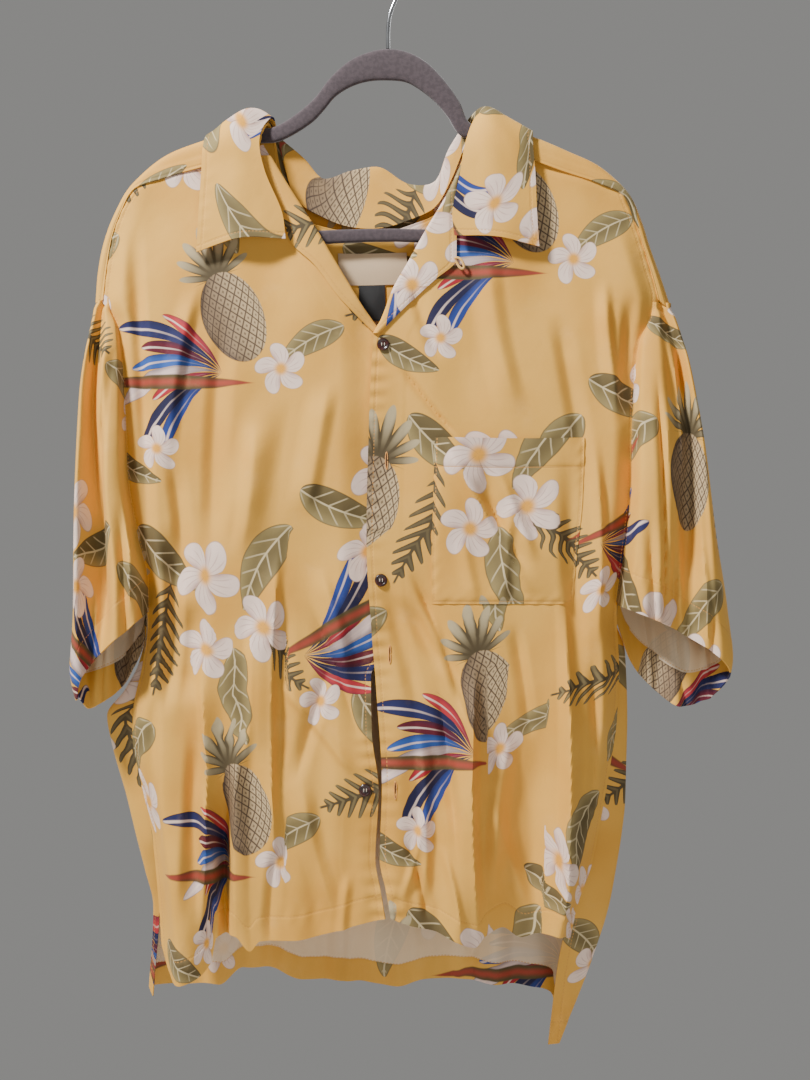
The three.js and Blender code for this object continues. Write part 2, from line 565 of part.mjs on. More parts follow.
// The loop that would reach a button under the right collar leaf.
function loopPiece() {
  const root = point(61, leftForward(61, 286) + LAYER + EDGE + LOOP_RADIUS, 284);
  return ropeAlong([
    root, root.clone().add(new THREE.Vector3(5, -1, 0)), root.clone().add(new THREE.Vector3(9, -1.5, -4)),
    root.clone().add(new THREE.Vector3(6, -1, -8)), root.clone().add(new THREE.Vector3(1, 0, -6)),
  ], LOOP_RADIUS, 6, 10);
}

function bare(geometry) {
  geometry.deleteAttribute('normal');
  geometry.deleteAttribute('uv');
  return facingOut(geometry);
}

// The hanger is one closed ring of rounded sections. Its arms follow the yoke's ridge from below,
// so the shoulders rest on them.
function hangerBody() {
  const ridge = YOKE.filter((row) => row.ridgeForward === 0);
  const ridgeDrop = curve(ridge, 'ridgeX', 'ridgeDrop');
  const arm = (x) => {
    const drop = ridgeDrop(x) + HANGER_CLEARANCE;
    return [x, drop, x - Math.sign(x) * ARM_DEPTH * 0.35, drop + ARM_DEPTH];
  };
  const armXs = [104, 122, 140, 158, 176, 192];
  const inset = BAR.inset;
  const stations = [
    ...armXs.slice().reverse().map((x) => arm(-x)),
    ...ARCH.map((row) => [row.outerX, row.outerDrop, row.innerX, row.innerDrop]),
    ...armXs.map(arm),
    [ARM_TIP.left, ARM_TIP.drop, ARM_TIP.left - inset, ARM_TIP.drop],
    [ARM_TIP.left - inset / 2, BAR.foot, ARM_TIP.left - inset - 4, BAR.top],
    [0, BAR.foot, 0, BAR.top],
    [ARM_TIP.right + inset / 2, BAR.foot, ARM_TIP.right + inset + 4, BAR.top],
    [ARM_TIP.right, ARM_TIP.drop, ARM_TIP.right + inset, ARM_TIP.drop],
  ];
  const half = HANGER_THICKNESS / 2;
  const soft = half * HANGER_ROUND * 2;
  const round = [
    [0, -half + soft], [0.15, -half], [0.85, -half], [1, -half + soft],
    [1, half - soft], [0.85, half], [0.15, half], [0, half - soft],
  ];
  const positions = stations.flatMap(([outerX, outerDrop, innerX, innerDrop]) => round.flatMap(
    ([share, y]) => [mix(outerX, innerX, share), y, -mix(outerDrop, innerDrop, share)]));
  const sides = round.length;
  const faces = [];
  stations.forEach((_, j) => round.forEach((__, i) => {
    const next = (j + 1) % stations.length;
    const [a, b] = [j * sides + i, j * sides + ((i + 1) % sides)];
    const [c, d] = [next * sides + ((i + 1) % sides), next * sides + i];
    faces.push(a, b, c, a, c, d);
  }));
  return facingOut(meshOf(positions, faces));
}

// The hook rises from the arch and turns over the rail, whose seat is the origin.
function hookPiece() {
  const centre = -(HOOK_RADIUS - HOOK_WIRE / 2);
  const points = [point(0, 0, 90 - SEAM_GAP), point(0, 0, 74), point(2, 0, 58)];
  for (const degrees of [-50, -20, 10, 40, 65, 90, 115, 140, 170, 200]) {
    const angle = (degrees * Math.PI) / 180;
    points.push(point(HOOK_RADIUS * Math.cos(angle), 0, -centre - HOOK_RADIUS * Math.sin(angle)));
  }
  return bare(ropeAlong(points, HOOK_WIRE / 2, 8, 34));
}

const shirt = new THREE.Group();

function add(name, geometry, material) {
  const mesh = new THREE.Mesh(geometry, material);
  mesh.name = name;
  shirt.add(mesh);
  return mesh;
}

const sleeveRight = sleevePiece(SLEEVE_RIGHT, SLEEVE_RIGHT_TOP, SLEEVE_RIGHT_HEM, rightFront, BACK_RIGHT);
const sleeveLeft = sleevePiece(SLEEVE_LEFT, SLEEVE_LEFT_TOP, SLEEVE_LEFT_HEM, leftFront, BACK_LEFT);

add('front_right', rightPanel(), cloth);
add('front_left', leftPanel(), cloth);
add('back', backPanel(), cloth);
add('yoke', yokePiece(), cloth);
add('collar', collarPiece(), cloth);
add('lapel_right', lapelPiece(rightFront, rightForward, LAPEL_RIGHT), cloth);
add('lapel_left', lapelPiece(leftFront, leftForward, LAPEL_LEFT), cloth);
add('sleeve_right', sleeveRight, cloth);
add('sleeve_left', sleeveLeft, cloth);
add('pocket', pocketPiece(), cloth);
for (const row of BUTTONS) placeButton(add(row.name, bare(buttonShape()), button), row);
add('button_loop', bare(loopPiece()), cloth);
add('neck_label', flatPiece(NECK_LABEL), labelCloth);
add('size_tab', flatPiece(SIZE_TAB), tabCloth);
add('hanger', hangerBody(), flock);
add('hook', hookPiece(), chrome);

export default shirt;
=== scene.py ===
# The finish of a hawaiian shirt on a hanger. Tables are in millimetres and the pieces in metres.
# "Drop" is the distance below the rail, so z = -drop, and "forward" is towards the shirt's front,
# so y = -forward. Right and left are the wearer's.
import math
from functools import partialmethod

import bpy
import numpy as np
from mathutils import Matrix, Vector


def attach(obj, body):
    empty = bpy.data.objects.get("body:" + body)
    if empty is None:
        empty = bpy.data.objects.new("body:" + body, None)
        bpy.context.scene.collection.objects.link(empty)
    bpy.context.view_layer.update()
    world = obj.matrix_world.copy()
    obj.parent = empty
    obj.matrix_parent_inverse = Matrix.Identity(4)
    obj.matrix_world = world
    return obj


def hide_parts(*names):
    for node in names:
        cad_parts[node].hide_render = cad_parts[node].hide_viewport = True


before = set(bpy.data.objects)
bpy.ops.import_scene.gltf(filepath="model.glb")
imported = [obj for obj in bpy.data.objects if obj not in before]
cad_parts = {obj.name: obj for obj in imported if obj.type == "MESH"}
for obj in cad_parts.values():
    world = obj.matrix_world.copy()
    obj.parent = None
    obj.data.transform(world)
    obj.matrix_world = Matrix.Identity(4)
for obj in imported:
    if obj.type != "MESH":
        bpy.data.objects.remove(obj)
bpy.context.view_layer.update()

MM = 0.001
PI = math.pi
CLOTH = 0.8
SEAM_GAP = 0.3
LAYER = 2.2
OVERLAP_LAYER = 5.2
UNDERLAP = 5.0
HEM_BAND = 21.0
SLEEVE_BAND = 32.0
FAR = 99.0


# Tables and smooth curves

def table(columns, rows):
    names = columns.split()
    return {name: np.array([row[i] for row in rows], dtype=float) for i, name in enumerate(names)}


def through(at, value, position):
    """Reads a smooth curve through values at given places, which never overshoots them. Each value
    may itself be a whole grid of numbers, one for each position."""
    p = np.clip(np.asarray(position, dtype=float), at[0], at[-1])
    value = value.reshape(value.shape + (1,) * (p.ndim + 1 - value.ndim))
    value = np.broadcast_to(value, (len(at),) + p.shape)
    widths = np.diff(at).reshape((-1,) + (1,) * p.ndim)
    step = np.diff(value, axis=0) / widths
    turns = step[:-1] * step[1:] <= 0
    total = np.where(turns, 1.0, step[:-1] + step[1:])
    inner = np.where(turns, 0.0, 2 * step[:-1] * step[1:] / total)
    slope = np.concatenate((step[:1], inner, step[-1:]))
    i = np.clip(np.searchsorted(at, p, side="right") - 1, 0, len(at) - 2)

    def pick(numbers, k):
        return np.take_along_axis(numbers, k[None], axis=0)[0]

    width = at[i + 1] - at[i]
    t = (p - at[i]) / width
    start = pick(value, i)
    rise = pick(value, i + 1) - start
    a = pick(slope, i) * width - rise
    b = rise - pick(slope, i + 1) * width
    return start + t * rise + t * (1 - t) * (a * (1 - t) + b * t)


def curve(rows, key, column):
    return lambda position: through(rows[key], rows[column], position)


def mix(a, b, t):
    return a + (b - a) * t


def smooth(t):
    t = np.clip(t, 0, 1)
    return t * t * (3 - 2 * t)


def spine(points, shares):
    """A centripetal Catmull-Rom curve: points are (n, ..., 3), and each share runs from 0 to 1."""
    points = np.asarray(points, dtype=float)
    ends = np.concatenate(([2 * points[0] - points[1]], points, [2 * points[-1] - points[-2]]))
    place = np.clip(shares, 0, 1) * (len(points) - 1)
    i = np.minimum(place.astype(int), len(points) - 2)
    t = (place - i).reshape((-1,) + (1,) * (points.ndim - 1))
    p0, p1, p2, p3 = (ends[i + k] for k in range(4))

    def gap(a, b):
        return np.maximum(np.linalg.norm(b - a, axis=-1, keepdims=True), 1e-6) ** 0.5

    d0, d1, d2 = gap(p0, p1), gap(p1, p2), gap(p2, p3)
    m1 = ((p1 - p0) / d0 - (p2 - p0) / (d0 + d1) + (p2 - p1) / d1) * d1
    m2 = ((p2 - p1) / d1 - (p3 - p1) / (d1 + d2) + (p3 - p2) / d2) * d1
    return (p1 + m1 * t + (3 * (p2 - p1) - 2 * m1 - m2) * t ** 2
            + (2 * (p1 - p2) + m1 + m2) * t ** 3)


# Outline of each front

RIGHT_INNER = table("drop x", [
    (180, -113), (218, -90), (260, -63), (286, -48), (308, -35), (328, -23), (345, -11), (365, 4),
    (390, 17), (450, 19), (600, 19), (632, 3), (660, -15), (710, -14), (760, -8), (821, -11),
    (850, -6), (880, -1),
])
RIGHT_OUTER = table("drop x", [
    (220, -230), (240, -242), (262, -250), (290, -255), (320, -258), (346, -247), (373, -243),
    (437, -239), (480, -237), (533, -228), (575, -219), (606, -219), (650, -223), (690, -231),
    (712, -232), (762, -223), (800, -215), (850, -209), (925, -202),
])
LEFT_INNER = table("drop x", [
    (172, 78), (222, 56), (255, 36), (284, 20), (311, 5), (339, -5), (356, -13), (438, -17),
    (538, -19), (611, -15), (674, -10), (758, -5), (821, -7), (850, -1), (880, 4),
])
LEFT_OUTER = table("drop x", [
    (226, 214), (245, 222), (264, 229), (292, 237), (320, 244), (336, 240.5), (360, 229),
    (392, 225), (423, 223), (500, 220), (552, 214), (606, 208), (650, 210), (700, 208),
    (742, 202), (777, 196), (828, 186), (870, 171), (905, 163),
])
RIGHT_TOP = table("across drop", [(0, 184), (0.3, 192), (0.57, 202), (0.8, 210), (1, 221)])
LEFT_TOP = table("across drop", [(0, 177), (0.3, 192), (0.6, 206), (0.85, 218), (1, 227)])
RIGHT_HEM = table("across drop", [
    (0, 874), (0.1, 878), (0.22, 885), (0.4, 893), (0.55, 894), (0.6, 903), (0.66, 890),
    (0.74, 891), (0.78, 915), (0.85, 927), (0.93, 931), (0.97, 922), (1, 903),
])
LEFT_HEM = table("across drop", [
    (0, 873), (0.1, 880), (0.25, 886), (0.35, 893), (0.46, 899), (0.51, 890), (0.6, 884),
    (0.72, 894), (0.83, 889), (0.93, 890), (1, 898),
])
FRONT_BODY = table("drop forward", [
    (170, 8), (230, 9), (300, 14), (400, 21), (500, 26), (600, 30), (720, 35), (930, 40),
])
FRONT_EDGE = table("drop forward", [
    (220, 8), (262, 7), (322, 8), (373, 12), (450, 15), (540, 16), (590, 12), (625, 9), (700, 11),
    (800, 11), (870, 16), (930, 22),
])
EDGE_TURN = 20

# Folds of the fronts: the large ones, and the finer creases between them. The axis runs from x at
# its top to x at its foot, and a negative depth is a trough.

FRONT_FOLDS = table("top foot x_top x_foot width depth", [
    (240, 575, -231, -212, 11, -7), (400, 545, -106, -136, 24, 5), (590, 690, -176, -180, 20, -8),
    (575, 790, -98, -98, 18, -7), (690, 890, -170, -176, 12, -7), (740, 990, -147, -143, 22, -24),
    (640, 870, -213, -208, 12, -7), (760, 990, -182, -184, 24, 8), (310, 440, 220, 212, 11, -7),
    (450, 710, 163, 168, 15, -7), (665, 990, 122, 116, 42, -17), (670, 990, 164, 160, 13, 7),
    (690, 990, 66, 60, 26, 6), (585, 665, 8, 60, 15, -5), (710, 800, 42, 62, 13, -5),
    (570, 700, -2, 30, 12, -4),
])
FRONT_CREASES = table("top foot x_top x_foot right left sharp height", [
    (528, 860, -96, -97, 26, 8, 0.8, 5.0), (630, 900, -169, -166, 8, 18, 0.8, 4.5),
    (740, 990, -166, -152, 16, 9, 0.8, 7.0), (700, 920, -131, -134, 8, 14, 0.6, 4.5),
    (760, 990, -138, -133, 9, 18, 0.6, 6.0), (520, 700, -196, -200, 12, 12, 0.2, -5.0),
    (590, 720, -72, -24, 16, 7, 0.7, -2.4), (660, 760, -100, -18, 10, 14, 0.6, 2.2),
    (560, 660, -62, -34, 20, 9, 0.4, 2.2), (376, 450, 8, 66, 8, 6, 0.8, -2.2),
    (300, 470, -170, -196, 16, 10, 0.3, 3.0), (330, 560, -148, -158, 12, 18, 0.2, -2.6),
    (455, 600, -196, -186, 10, 14, 0.3, -3.0), (392, 520, -52, -74, 22, 12, 0.3, 2.6),
    (430, 560, -118, -132, 14, 26, 0.3, 3.0), (600, 745, -122, -128, 9, 20, 0.5, 3.0),
    (640, 760, -50, -84, 14, 11, 0.5, -2.4), (740, 880, -78, -44, 16, 12, 0.4, 2.6),
    (800, 905, -96, -104, 9, 12, 0.5, -2.4), (830, 905, -34, -40, 8, 8, 0.5, 2.0),
    (640, 905, 79, 82, 20, 9, 0.8, 7.0), (560, 990, 156, 146, 10, 24, 0.8, 7.0),
    (560, 700, 18, 68, 7, 16, 0.7, -3.4), (590, 730, 36, 82, 16, 7, 0.5, 2.6),
    (670, 830, 44, 62, 9, 7, 0.7, -2.8), (690, 880, 26, 30, 8, 10, 0.4, 2.4),
    (800, 880, 14, 36, 6, 9, 0.7, -2.2), (770, 860, 34, 12, 7, 9, 0.6, 2.2),
    (806, 896, 48, 66, 8, 6, 0.7, 2.4), (700, 860, 112, 96, 12, 14, 0.3, 3.2),
    (760, 880, 92, 132, 18, 12, 0.5, 2.6), (610, 720, 112, 128, 12, 9, 0.4, -2.6),
    (440, 640, 184, 186, 14, 8, 0.4, 3.4), (300, 430, 196, 208, 12, 8, 0.4, 3.2),
    (330, 470, 152, 176, 12, 16, 0.3, -2.4), (270, 430, 90, 118, 22, 14, 0.2, 2.6),
    (640, 800, 182, 178, 9, 9, 0.4, -3.0), (480, 575, 74, 126, 9, 12, 0.6, -2.8),
    (470, 560, 96, 132, 12, 9, 0.5, 2.4), (300, 380, 20, 48, 9, 14, 0.4, -1.8),
])
# Where a crease laps over its foot, it hides a strip of cloth and the print breaks along the line.
FRONT_PLEATS = table("top foot x_top x_foot hidden", [
    (560, 990, 146, 136, 36), (528, 860, -89, -91, 28), (650, 905, 88, 90, 24),
])
BACK_FOLDS = table("top foot x_top x_foot width depth", [
    (420, 720, -150, -165, 34, 6), (560, 1010, -190, -182, 24, 8), (640, 1010, -120, -128, 20, -7),
    (520, 1010, -60, -72, 36, 7), (600, 1010, -10, -16, 22, -6), (500, 1010, 48, 52, 34, 7),
    (620, 1010, 100, 96, 22, -7), (560, 1010, 158, 140, 26, 8),
])
BACK_CREASES = table("top foot x_top x_foot right left sharp height", [
    (350, 540, -204, -150, 18, 10, 0.4, 3.0), (360, 520, 190, 138, 10, 18, 0.4, 2.8),
    (430, 640, -96, -84, 12, 16, 0.3, -2.6), (460, 680, 92, 76, 16, 11, 0.3, -2.4),
    (540, 760, -30, -44, 9, 14, 0.5, 2.6), (610, 820, 22, 12, 12, 8, 0.5, 2.8),
    (660, 930, -150, -158, 8, 14, 0.7, -4.0), (700, 960, 72, 76, 14, 7, 0.7, 4.0),
    (680, 900, -92, -98, 8, 16, 0.6, 3.6), (760, 960, 30, 26, 8, 12, 0.5, -3.0),
    (780, 970, -40, -42, 12, 8, 0.5, 3.2), (380, 470, -20, 30, 14, 12, 0.2, -1.8),
    (620, 860, 178, 168, 8, 12, 0.6, -3.4), (590, 800, -206, -204, 9, 8, 0.5, -3.0),
    (700, 900, 118, 112, 12, 7, 0.6, 3.4), (800, 940, -116, -120, 7, 9, 0.6, -2.6),
])

# The back's side edges, its hem, and the yoke's and the collar's sections

BACK_RIGHT = table("drop seam_x seam_forward turn_x turn_forward", [
    (330, -249, -5, -246, -9), (400, -240, -6, -236, -10), (500, -234, -6, -230, -10),
    (575, -219, -4, -216, -9), (606, -219, -2, -218, -6), (650, -223, 7, -227, -2),
    (675, -229, 9, -240, -1), (698, -232, 11, -256, -1), (722, -231, 11, -252, -1),
    (772, -220, 11, -238, -1), (806, -215, 8, -230, -2), (840, -213, 0, -222, -5),
    (873, -214, -4, -215, -8), (957, -221, -9, -220, -13),
])
BACK_LEFT = table("drop seam_x seam_forward turn_x turn_forward", [
    (330, 237, -5, 234, -9), (400, 224, -6, 220, -10), (500, 220, -6, 216, -10),
    (575, 211, -4, 208, -9), (606, 208, -2, 207, -6), (640, 210, 7, 216, -2),
    (700, 208, 11, 218, -1), (742, 202, 11, 217, -1), (777, 196, 11, 216, -1),
    (806, 191, 8, 213, -2), (840, 183, 9, 208, -5), (873, 171, 9, 202, -7),
    (923, 160, 4, 187, -11), (1001, 152, -8, 157, -13),
])
BACK_BODY = table("drop forward", [(330, -10), (450, -13), (600, -16), (800, -20), (1000, -24)])
YOKE_DROP = 334
BACK_HEM = table("across drop", [
    (0, 957), (0.07, 948), (0.22, 950), (0.27, 932), (0.33, 935), (0.38, 946), (0.48, 946),
    (0.54, 951), (0.62, 944), (0.72, 948), (0.82, 952), (0.855, 958), (0.875, 988), (0.9, 1000),
    (1, 1001),
])
YOKE = [
    (-258, 8, 320, -266, 0, 320, -250, 332), (-255, 7, 290, -264, 0, 294, -246, 331),
    (-250, 7, 262, -259, 0, 268, -238, 330), (-242, 7, 240, -250, 0, 243, -228, 330),
    (-230, 8, 220, -235, 0, 217, -212, 330), (-203, 9, 210, -205, 0, 190, -180, 330),
    (-168, 9, 200, -169, 0, 175, -145, 330), (-136, 9, 191, -137, 0, 166, -120, 330),
    (-119, 9, 184, -117, 0, 160, -104, 330), (-114, 7.5, 168, -112, 0, 159.5, -100, 330),
    (-110, 0, 157.5, -107, -6.5, 162, -96, 330), (-106, -6.5, 164, -103, -9, 186, -91, 330),
    (-97, -9.6, 204, -93, -9.6, 232, -82, 330), (-82, -9.6, 240, -78, -9.6, 262, -68, 330),
    (-38, -9.6, 255, -37, -9.6, 276, -33, 330), (-6, -9.6, 256, -6, -9.6, 277, -3, 330),
    (23, -9.6, 248, 24, -9.6, 270, 26, 330), (46, -9.6, 237, 48, -9.6, 260, 50, 330),
    (62, -9.6, 210, 66, -9.6, 230, 68, 330), (79, -6.5, 164, 77, -9, 186, 78, 330),
    (85, 0, 154.5, 82, -7, 160, 86, 330), (86.5, 7.5, 165, 90, 0, 156.5, 92, 330),
    (90, 9, 178, 97, 0, 160, 101, 330), (108, 9, 185, 109, 0, 163.5, 116, 330),
    (132, 9, 194, 132, 0, 171, 136, 330), (162, 9, 205, 163, 0, 184, 164, 330),
    (192, 9, 215, 194, 0, 199, 190, 330), (214, 8, 226, 220, 0, 224, 206, 330),
    (222, 7, 245, 231, 0, 248, 216, 330), (229, 7, 264, 238, 0, 270, 224, 331),
    (238, 7, 292, 248, 0, 298, 232, 331), (245, 8, 320, 257, 0, 325, 240, 332),
]
RIDGE_HALF_WIDTH = 6
RIDGE_FALL = 2.5
COLLAR = [
    (-92, 20, 267, -132, 25, 267, -172, 20, 279), (-95, 19, 244, -134, 23, 241, -170, 19, 240),
    (-111, 18, 205, -138, 20, 202, -168, 16, 205), (-116, 16, 180, -142, 18, 174, -167, 13, 184),
    (-113, 8, 163, -130, 8, 150, -164, 4, 170), (-105, 0, 153, -121, 0, 145, -158, -2, 167),
    (-102, -7, 164, -112, -8, 152, -150, -15, 184), (-96, -7.6, 190, -101, -10, 168, -128, -20, 214),
    (-84, -7.6, 226, -77, -12, 188, -98, -22, 256), (-60, -7.6, 242, -60, -13, 206, -68, -23, 272),
    (-35, -7.6, 251, -35, -13, 199, -37, -23, 270), (-6, -7.6, 252, -8, -13, 196, -6, -23, 268),
    (21, -7.6, 244, 19, -13, 211, 25, -23, 273), (43, -7.6, 233, 43, -13, 209, 52, -23, 268),
    (58, -7.6, 208, 56, -11, 180, 80, -21, 246), (71, -7.6, 176, 70, -9, 158, 108, -18, 204),
    (80, -7, 160, 78, -8, 148, 122, -14, 184), (83, -4, 152, 84, -3, 144, 127, -9, 169),
    (84, 1, 150, 90, 1, 144, 129, 1, 166), (80, 6, 154, 91, 8, 149, 131, 8, 168),
    (75, 10, 164, 92, 14, 159, 131, 12, 179), (69, 15, 184, 98, 19, 174, 132, 14, 194),
    (65, 18, 208, 98, 21, 205, 133, 16, 210), (58, 19, 244, 96, 23, 241, 134, 19, 241),
    (60, 20, 264, 98, 25, 266, 136, 20, 274),
]
LAPEL_RIGHT = table("drop x", [
    (190, -119), (218, -105), (250, -94), (268, -88), (290, -66), (320, -43), (352, -11),
])
LAPEL_LEFT = table("drop x", [
    (190, 70), (222, 63), (255, 62), (284, 62), (304, 42), (322, 22), (352, -8),
])

# The sleeves by height, and the round of their sections

SLEEVE_RIGHT = table("drop edge front back valley", [
    (326, -267, 12, -8, -259), (345, -270, 18, -13, -261), (373, -274, 26, -18, -265),
    (406, -278, 34, -22, -266), (460, -281, 42, -28, -264), (530, -283, 46, -30, -260),
    (600, -283, 50, -22, -258), (650, -284, 50, 0, -260), (696, -274, 46, 14, -262),
])
SLEEVE_LEFT = table("drop edge front back valley", [
    (331, 260, 12, -8, 251), (350, 266, 18, -13, 256), (373, 272, 26, -18, 261),
    (406, 278, 34, -22, 265), (460, 287, 42, -28, 271), (530, 296, 46, -30, 270),
    (600, 306, 50, -22, 262), (640, 309, 50, -6, 262), (692, 296, 46, 8, 262),
])
SLEEVE_RIGHT_TOP = table("across drop", [(0, 330), (0.5, 325), (1, 340)])
SLEEVE_LEFT_TOP = table("across drop", [(0, 331), (0.5, 332), (1, 341)])
SLEEVE_RIGHT_HEM = table("across drop", [
    (0, 600), (0.12, 614), (0.25, 634), (0.36, 658), (0.44, 680), (0.5, 674), (0.58, 690),
    (0.7, 684), (0.82, 672), (0.92, 648), (1, 596),
])
SLEEVE_LEFT_HEM = table("across drop", [
    (0, 595), (0.12, 602), (0.25, 614), (0.36, 632), (0.44, 648), (0.5, 662), (0.58, 682),
    (0.68, 688), (0.8, 672), (0.92, 644), (1, 596),
])
SLEEVE_ROUND = table("across out depth", [
    (0, 0, 0.3), (0.1, 0.12, 0.85), (0.2, 0.34, 1), (0.3, 0.62, 0.3), (0.4, 0.86, 0.75),
    (0.5, 1, 0), (0.6, 0.84, -0.8), (0.7, 0.6, -0.3), (0.8, 0.36, -1), (0.9, 0.16, -0.75),
    (1, 0, -0.2),
])
VALLEY_ACROSS = 0.3
SEAM_ACROSS = 0.1

# Small pieces and the hanger

POCKET = {"inner": 4 / 16, "outer": 13 / 16, "top": 446, "foot": 595, "lift": 2.0, "gape": 10}
BUTTON_RADIUS = 5.7
BUTTON_THICKNESS = 2.0
BUTTONS = [
    ("button_1", -4, 362), ("button_2", -4, 467), ("button_3", -6, 574), ("button_4", -4, 640),
    ("button_5", -20, 760),
]
ARCH = [
    (-79, 146, -70, 158), (-66, 134, -59, 147), (-53, 117, -48, 134), (-35, 101, -34, 125),
    (-17, 93, -18, 120), (0, 90, 0, 119), (18, 93, 17, 121), (36, 103, 31, 129),
    (54, 122, 43, 139), (65, 138, 54, 152), (75, 158, 66, 169),
]
YOKE_RIDGE = np.array([(row[3], row[5]) for row in YOKE if row[4] == 0], dtype=float)
HANGER_CLEARANCE = 2.3
ARM_DEPTH = 13
ARM_XS = (104, 122, 140, 158, 176, 192)
ARM_TIP = {"right": -224, "left": 216, "drop": 244}
BAR = {"top": 254, "foot": 266, "inset": 12}
HANGER_THICKNESS = 6
HOOK_WIRE = 3.6
HOOK_RADIUS = 20


# Surfaces of the cloth

def folds_at(folds, x, drop):
    """How far a table of folds moves the cloth at each place."""
    depth = np.zeros(np.broadcast(x, drop).shape)
    for top, foot, x_top, x_foot, width, high in zip(*folds.values()):
        along = (drop - top) / (foot - top)
        off = np.clip((x - mix(x_top, x_foot, along)) / width, -1, 1)
        fade = smooth(along * 3) * smooth((1 - along) * 3)
        depth += high * fade * np.cos(off * PI / 2) ** 2
    return depth


def creases_at(creases, x, drop):
    """The same for creases, whose two sides may be steep or gentle and whose line may be sharp."""
    height = np.zeros(np.broadcast(x, drop).shape)
    for top, foot, x_top, x_foot, right, left, sharp, high in zip(*creases.values()):
        along = (drop - top) / (foot - top)
        bow = 0.035 * (foot - top) * np.sin(along * PI) * np.sin(x_top + foot)
        off = x - mix(x_top, x_foot, along) - bow
        near = np.clip(1 - np.abs(off) / np.where(off < 0, right, left), 0, 1)
        fade = smooth(along * 3.5) * smooth((1 - along) * 3.5)
        height += high * fade * mix(smooth(near), near * near, sharp)
    return height


def hidden_by_pleats(x, drop):
    """How much cloth lies hidden in the laps between the front's middle and each place."""
    hidden = np.zeros(x.shape)
    for top, foot, x_top, x_foot, width in zip(*FRONT_PLEATS.values()):
        along = np.clip((drop - top) / (foot - top), 0, 1)
        line = mix(x_top, x_foot, along)
        hidden += width * np.sin(along * PI) ** 0.6 * smooth((x - line) / 2.4 + 0.5)
    return hidden


def ripple(x, drop, size=1.0):
    """The slight unevenness of worn rayon: a few long waves that never repeat in step."""
    return size * (0.5 * np.sin(x / 17 + drop / 61) * np.sin(drop / 43 - x / 80)
                   + 0.35 * np.sin(x / 9.5 - drop / 38 + 1.7) * np.sin(drop / 29 + 0.4)
                   + 0.25 * np.sin(x / 23 - drop / 14 + 0.6) * np.sin(x / 31 + 2.1))


def drape(x, drop):
    """Long soft folds that grow towards the hem."""
    grow = smooth((drop - 500) / 330)
    wide = 2.6 * np.sin(x / 7.6 + 1.2 * np.sin(drop / 190 + x / 120) + 0.8)
    narrow = 1.5 * np.sin(x / 4.7 + drop / 130 + 1.3 * np.sin(x / 60))
    return grow * (wide + narrow)


class Front:
    """One front: where it lies across and down, and how far forward."""

    def __init__(self, inner, outer, top, hem):
        self.inner = curve(inner, "drop", "x")
        self.outer = curve(outer, "drop", "x")
        self.top = curve(top, "across", "drop")
        self.hem = curve(hem, "across", "drop")
        self.body = curve(FRONT_BODY, "drop", "forward")
        self.edge = curve(FRONT_EDGE, "drop", "forward")
        self.inward = np.sign(inner["x"][0] - outer["x"][0])

    def across(self, u, drop):
        """Above the armhole the outer edge runs on under the yoke."""
        under = 4.6 * smooth((326 - drop) / 8)
        return mix(self.inner(drop), self.outer(drop) + self.inward * (0.7 - under), u)

    def down(self, u, v):
        return mix(self.top(u) + CLOTH / 2 + SEAM_GAP, self.hem(u), v)

    def forward(self, x, drop):
        to_edge = smooth(1 - np.abs(self.outer(drop) - x) / EDGE_TURN)
        open_cloth = self.body(drop) + folds_at(FRONT_FOLDS, x, drop)
        open_cloth += 2.0 * creases_at(FRONT_CREASES, x, drop) + ripple(x, drop, 2.6)
        open_cloth += 0.45 * drape(x, drop)
        beyond = np.clip((x - self.outer(drop)) * -self.inward + 1, 0, 6)
        return mix(open_cloth, self.edge(drop), to_edge) - 0.85 * beyond * smooth((332 - drop) / 8)


RIGHT_FRONT = Front(RIGHT_INNER, RIGHT_OUTER, RIGHT_TOP, RIGHT_HEM)
LEFT_FRONT = Front(LEFT_INNER, LEFT_OUTER, LEFT_TOP, LEFT_HEM)


def right_forward(x, drop):
    """The right front lies one layer behind the left one where they lap."""
    across = smooth((x + 44) / 26)
    down = smooth((drop - 318) / 30) * smooth((692 - drop) / 36)
    return RIGHT_FRONT.forward(x, drop) - OVERLAP_LAYER * across * down


def left_forward(x, drop):
    return LEFT_FRONT.forward(x, drop)


def back_forward(x, drop):
    body = curve(BACK_BODY, "drop", "forward")(drop)
    body -= folds_at(BACK_FOLDS, x, drop) + 1.7 * creases_at(BACK_CREASES, x, drop)
    return body - (ripple(x, drop, 2.2) + drape(x + 31, drop)) * smooth((drop - 334) / 60)


def grid(columns, rows):
    u, v = np.meshgrid(np.linspace(0, 1, columns + 1), np.linspace(0, 1, rows + 1))
    return u, v


def lay(x, forward, drop):
    return np.stack([x, -forward, -drop], axis=-1)


def arc(points, axis, start):
    """The length along the cloth in one direction, from the row or column named by start."""
    step = np.linalg.norm(np.diff(points, axis=axis), axis=-1)
    first = np.zeros_like(np.take(step, [0], axis=axis))
    run = np.cumsum(np.concatenate((first, step), axis=axis), axis=axis)
    return run - np.take(run, [start], axis=axis)


def normals(points):
    normal = np.cross(np.gradient(points, axis=1), np.gradient(points, axis=0))
    return normal / np.maximum(np.linalg.norm(normal, axis=-1, keepdims=True), 1e-9)


def pucker(distance, run, reach=12.0, high=0.45):
    """Small waves that a line of stitches draws into the cloth beside it."""
    wave = np.sin(run / 2.1 + 2 * np.sin(run / 37)) * (0.6 + 0.4 * np.sin(run / 19))
    return high * wave * smooth(1 - np.abs(distance) / reach)
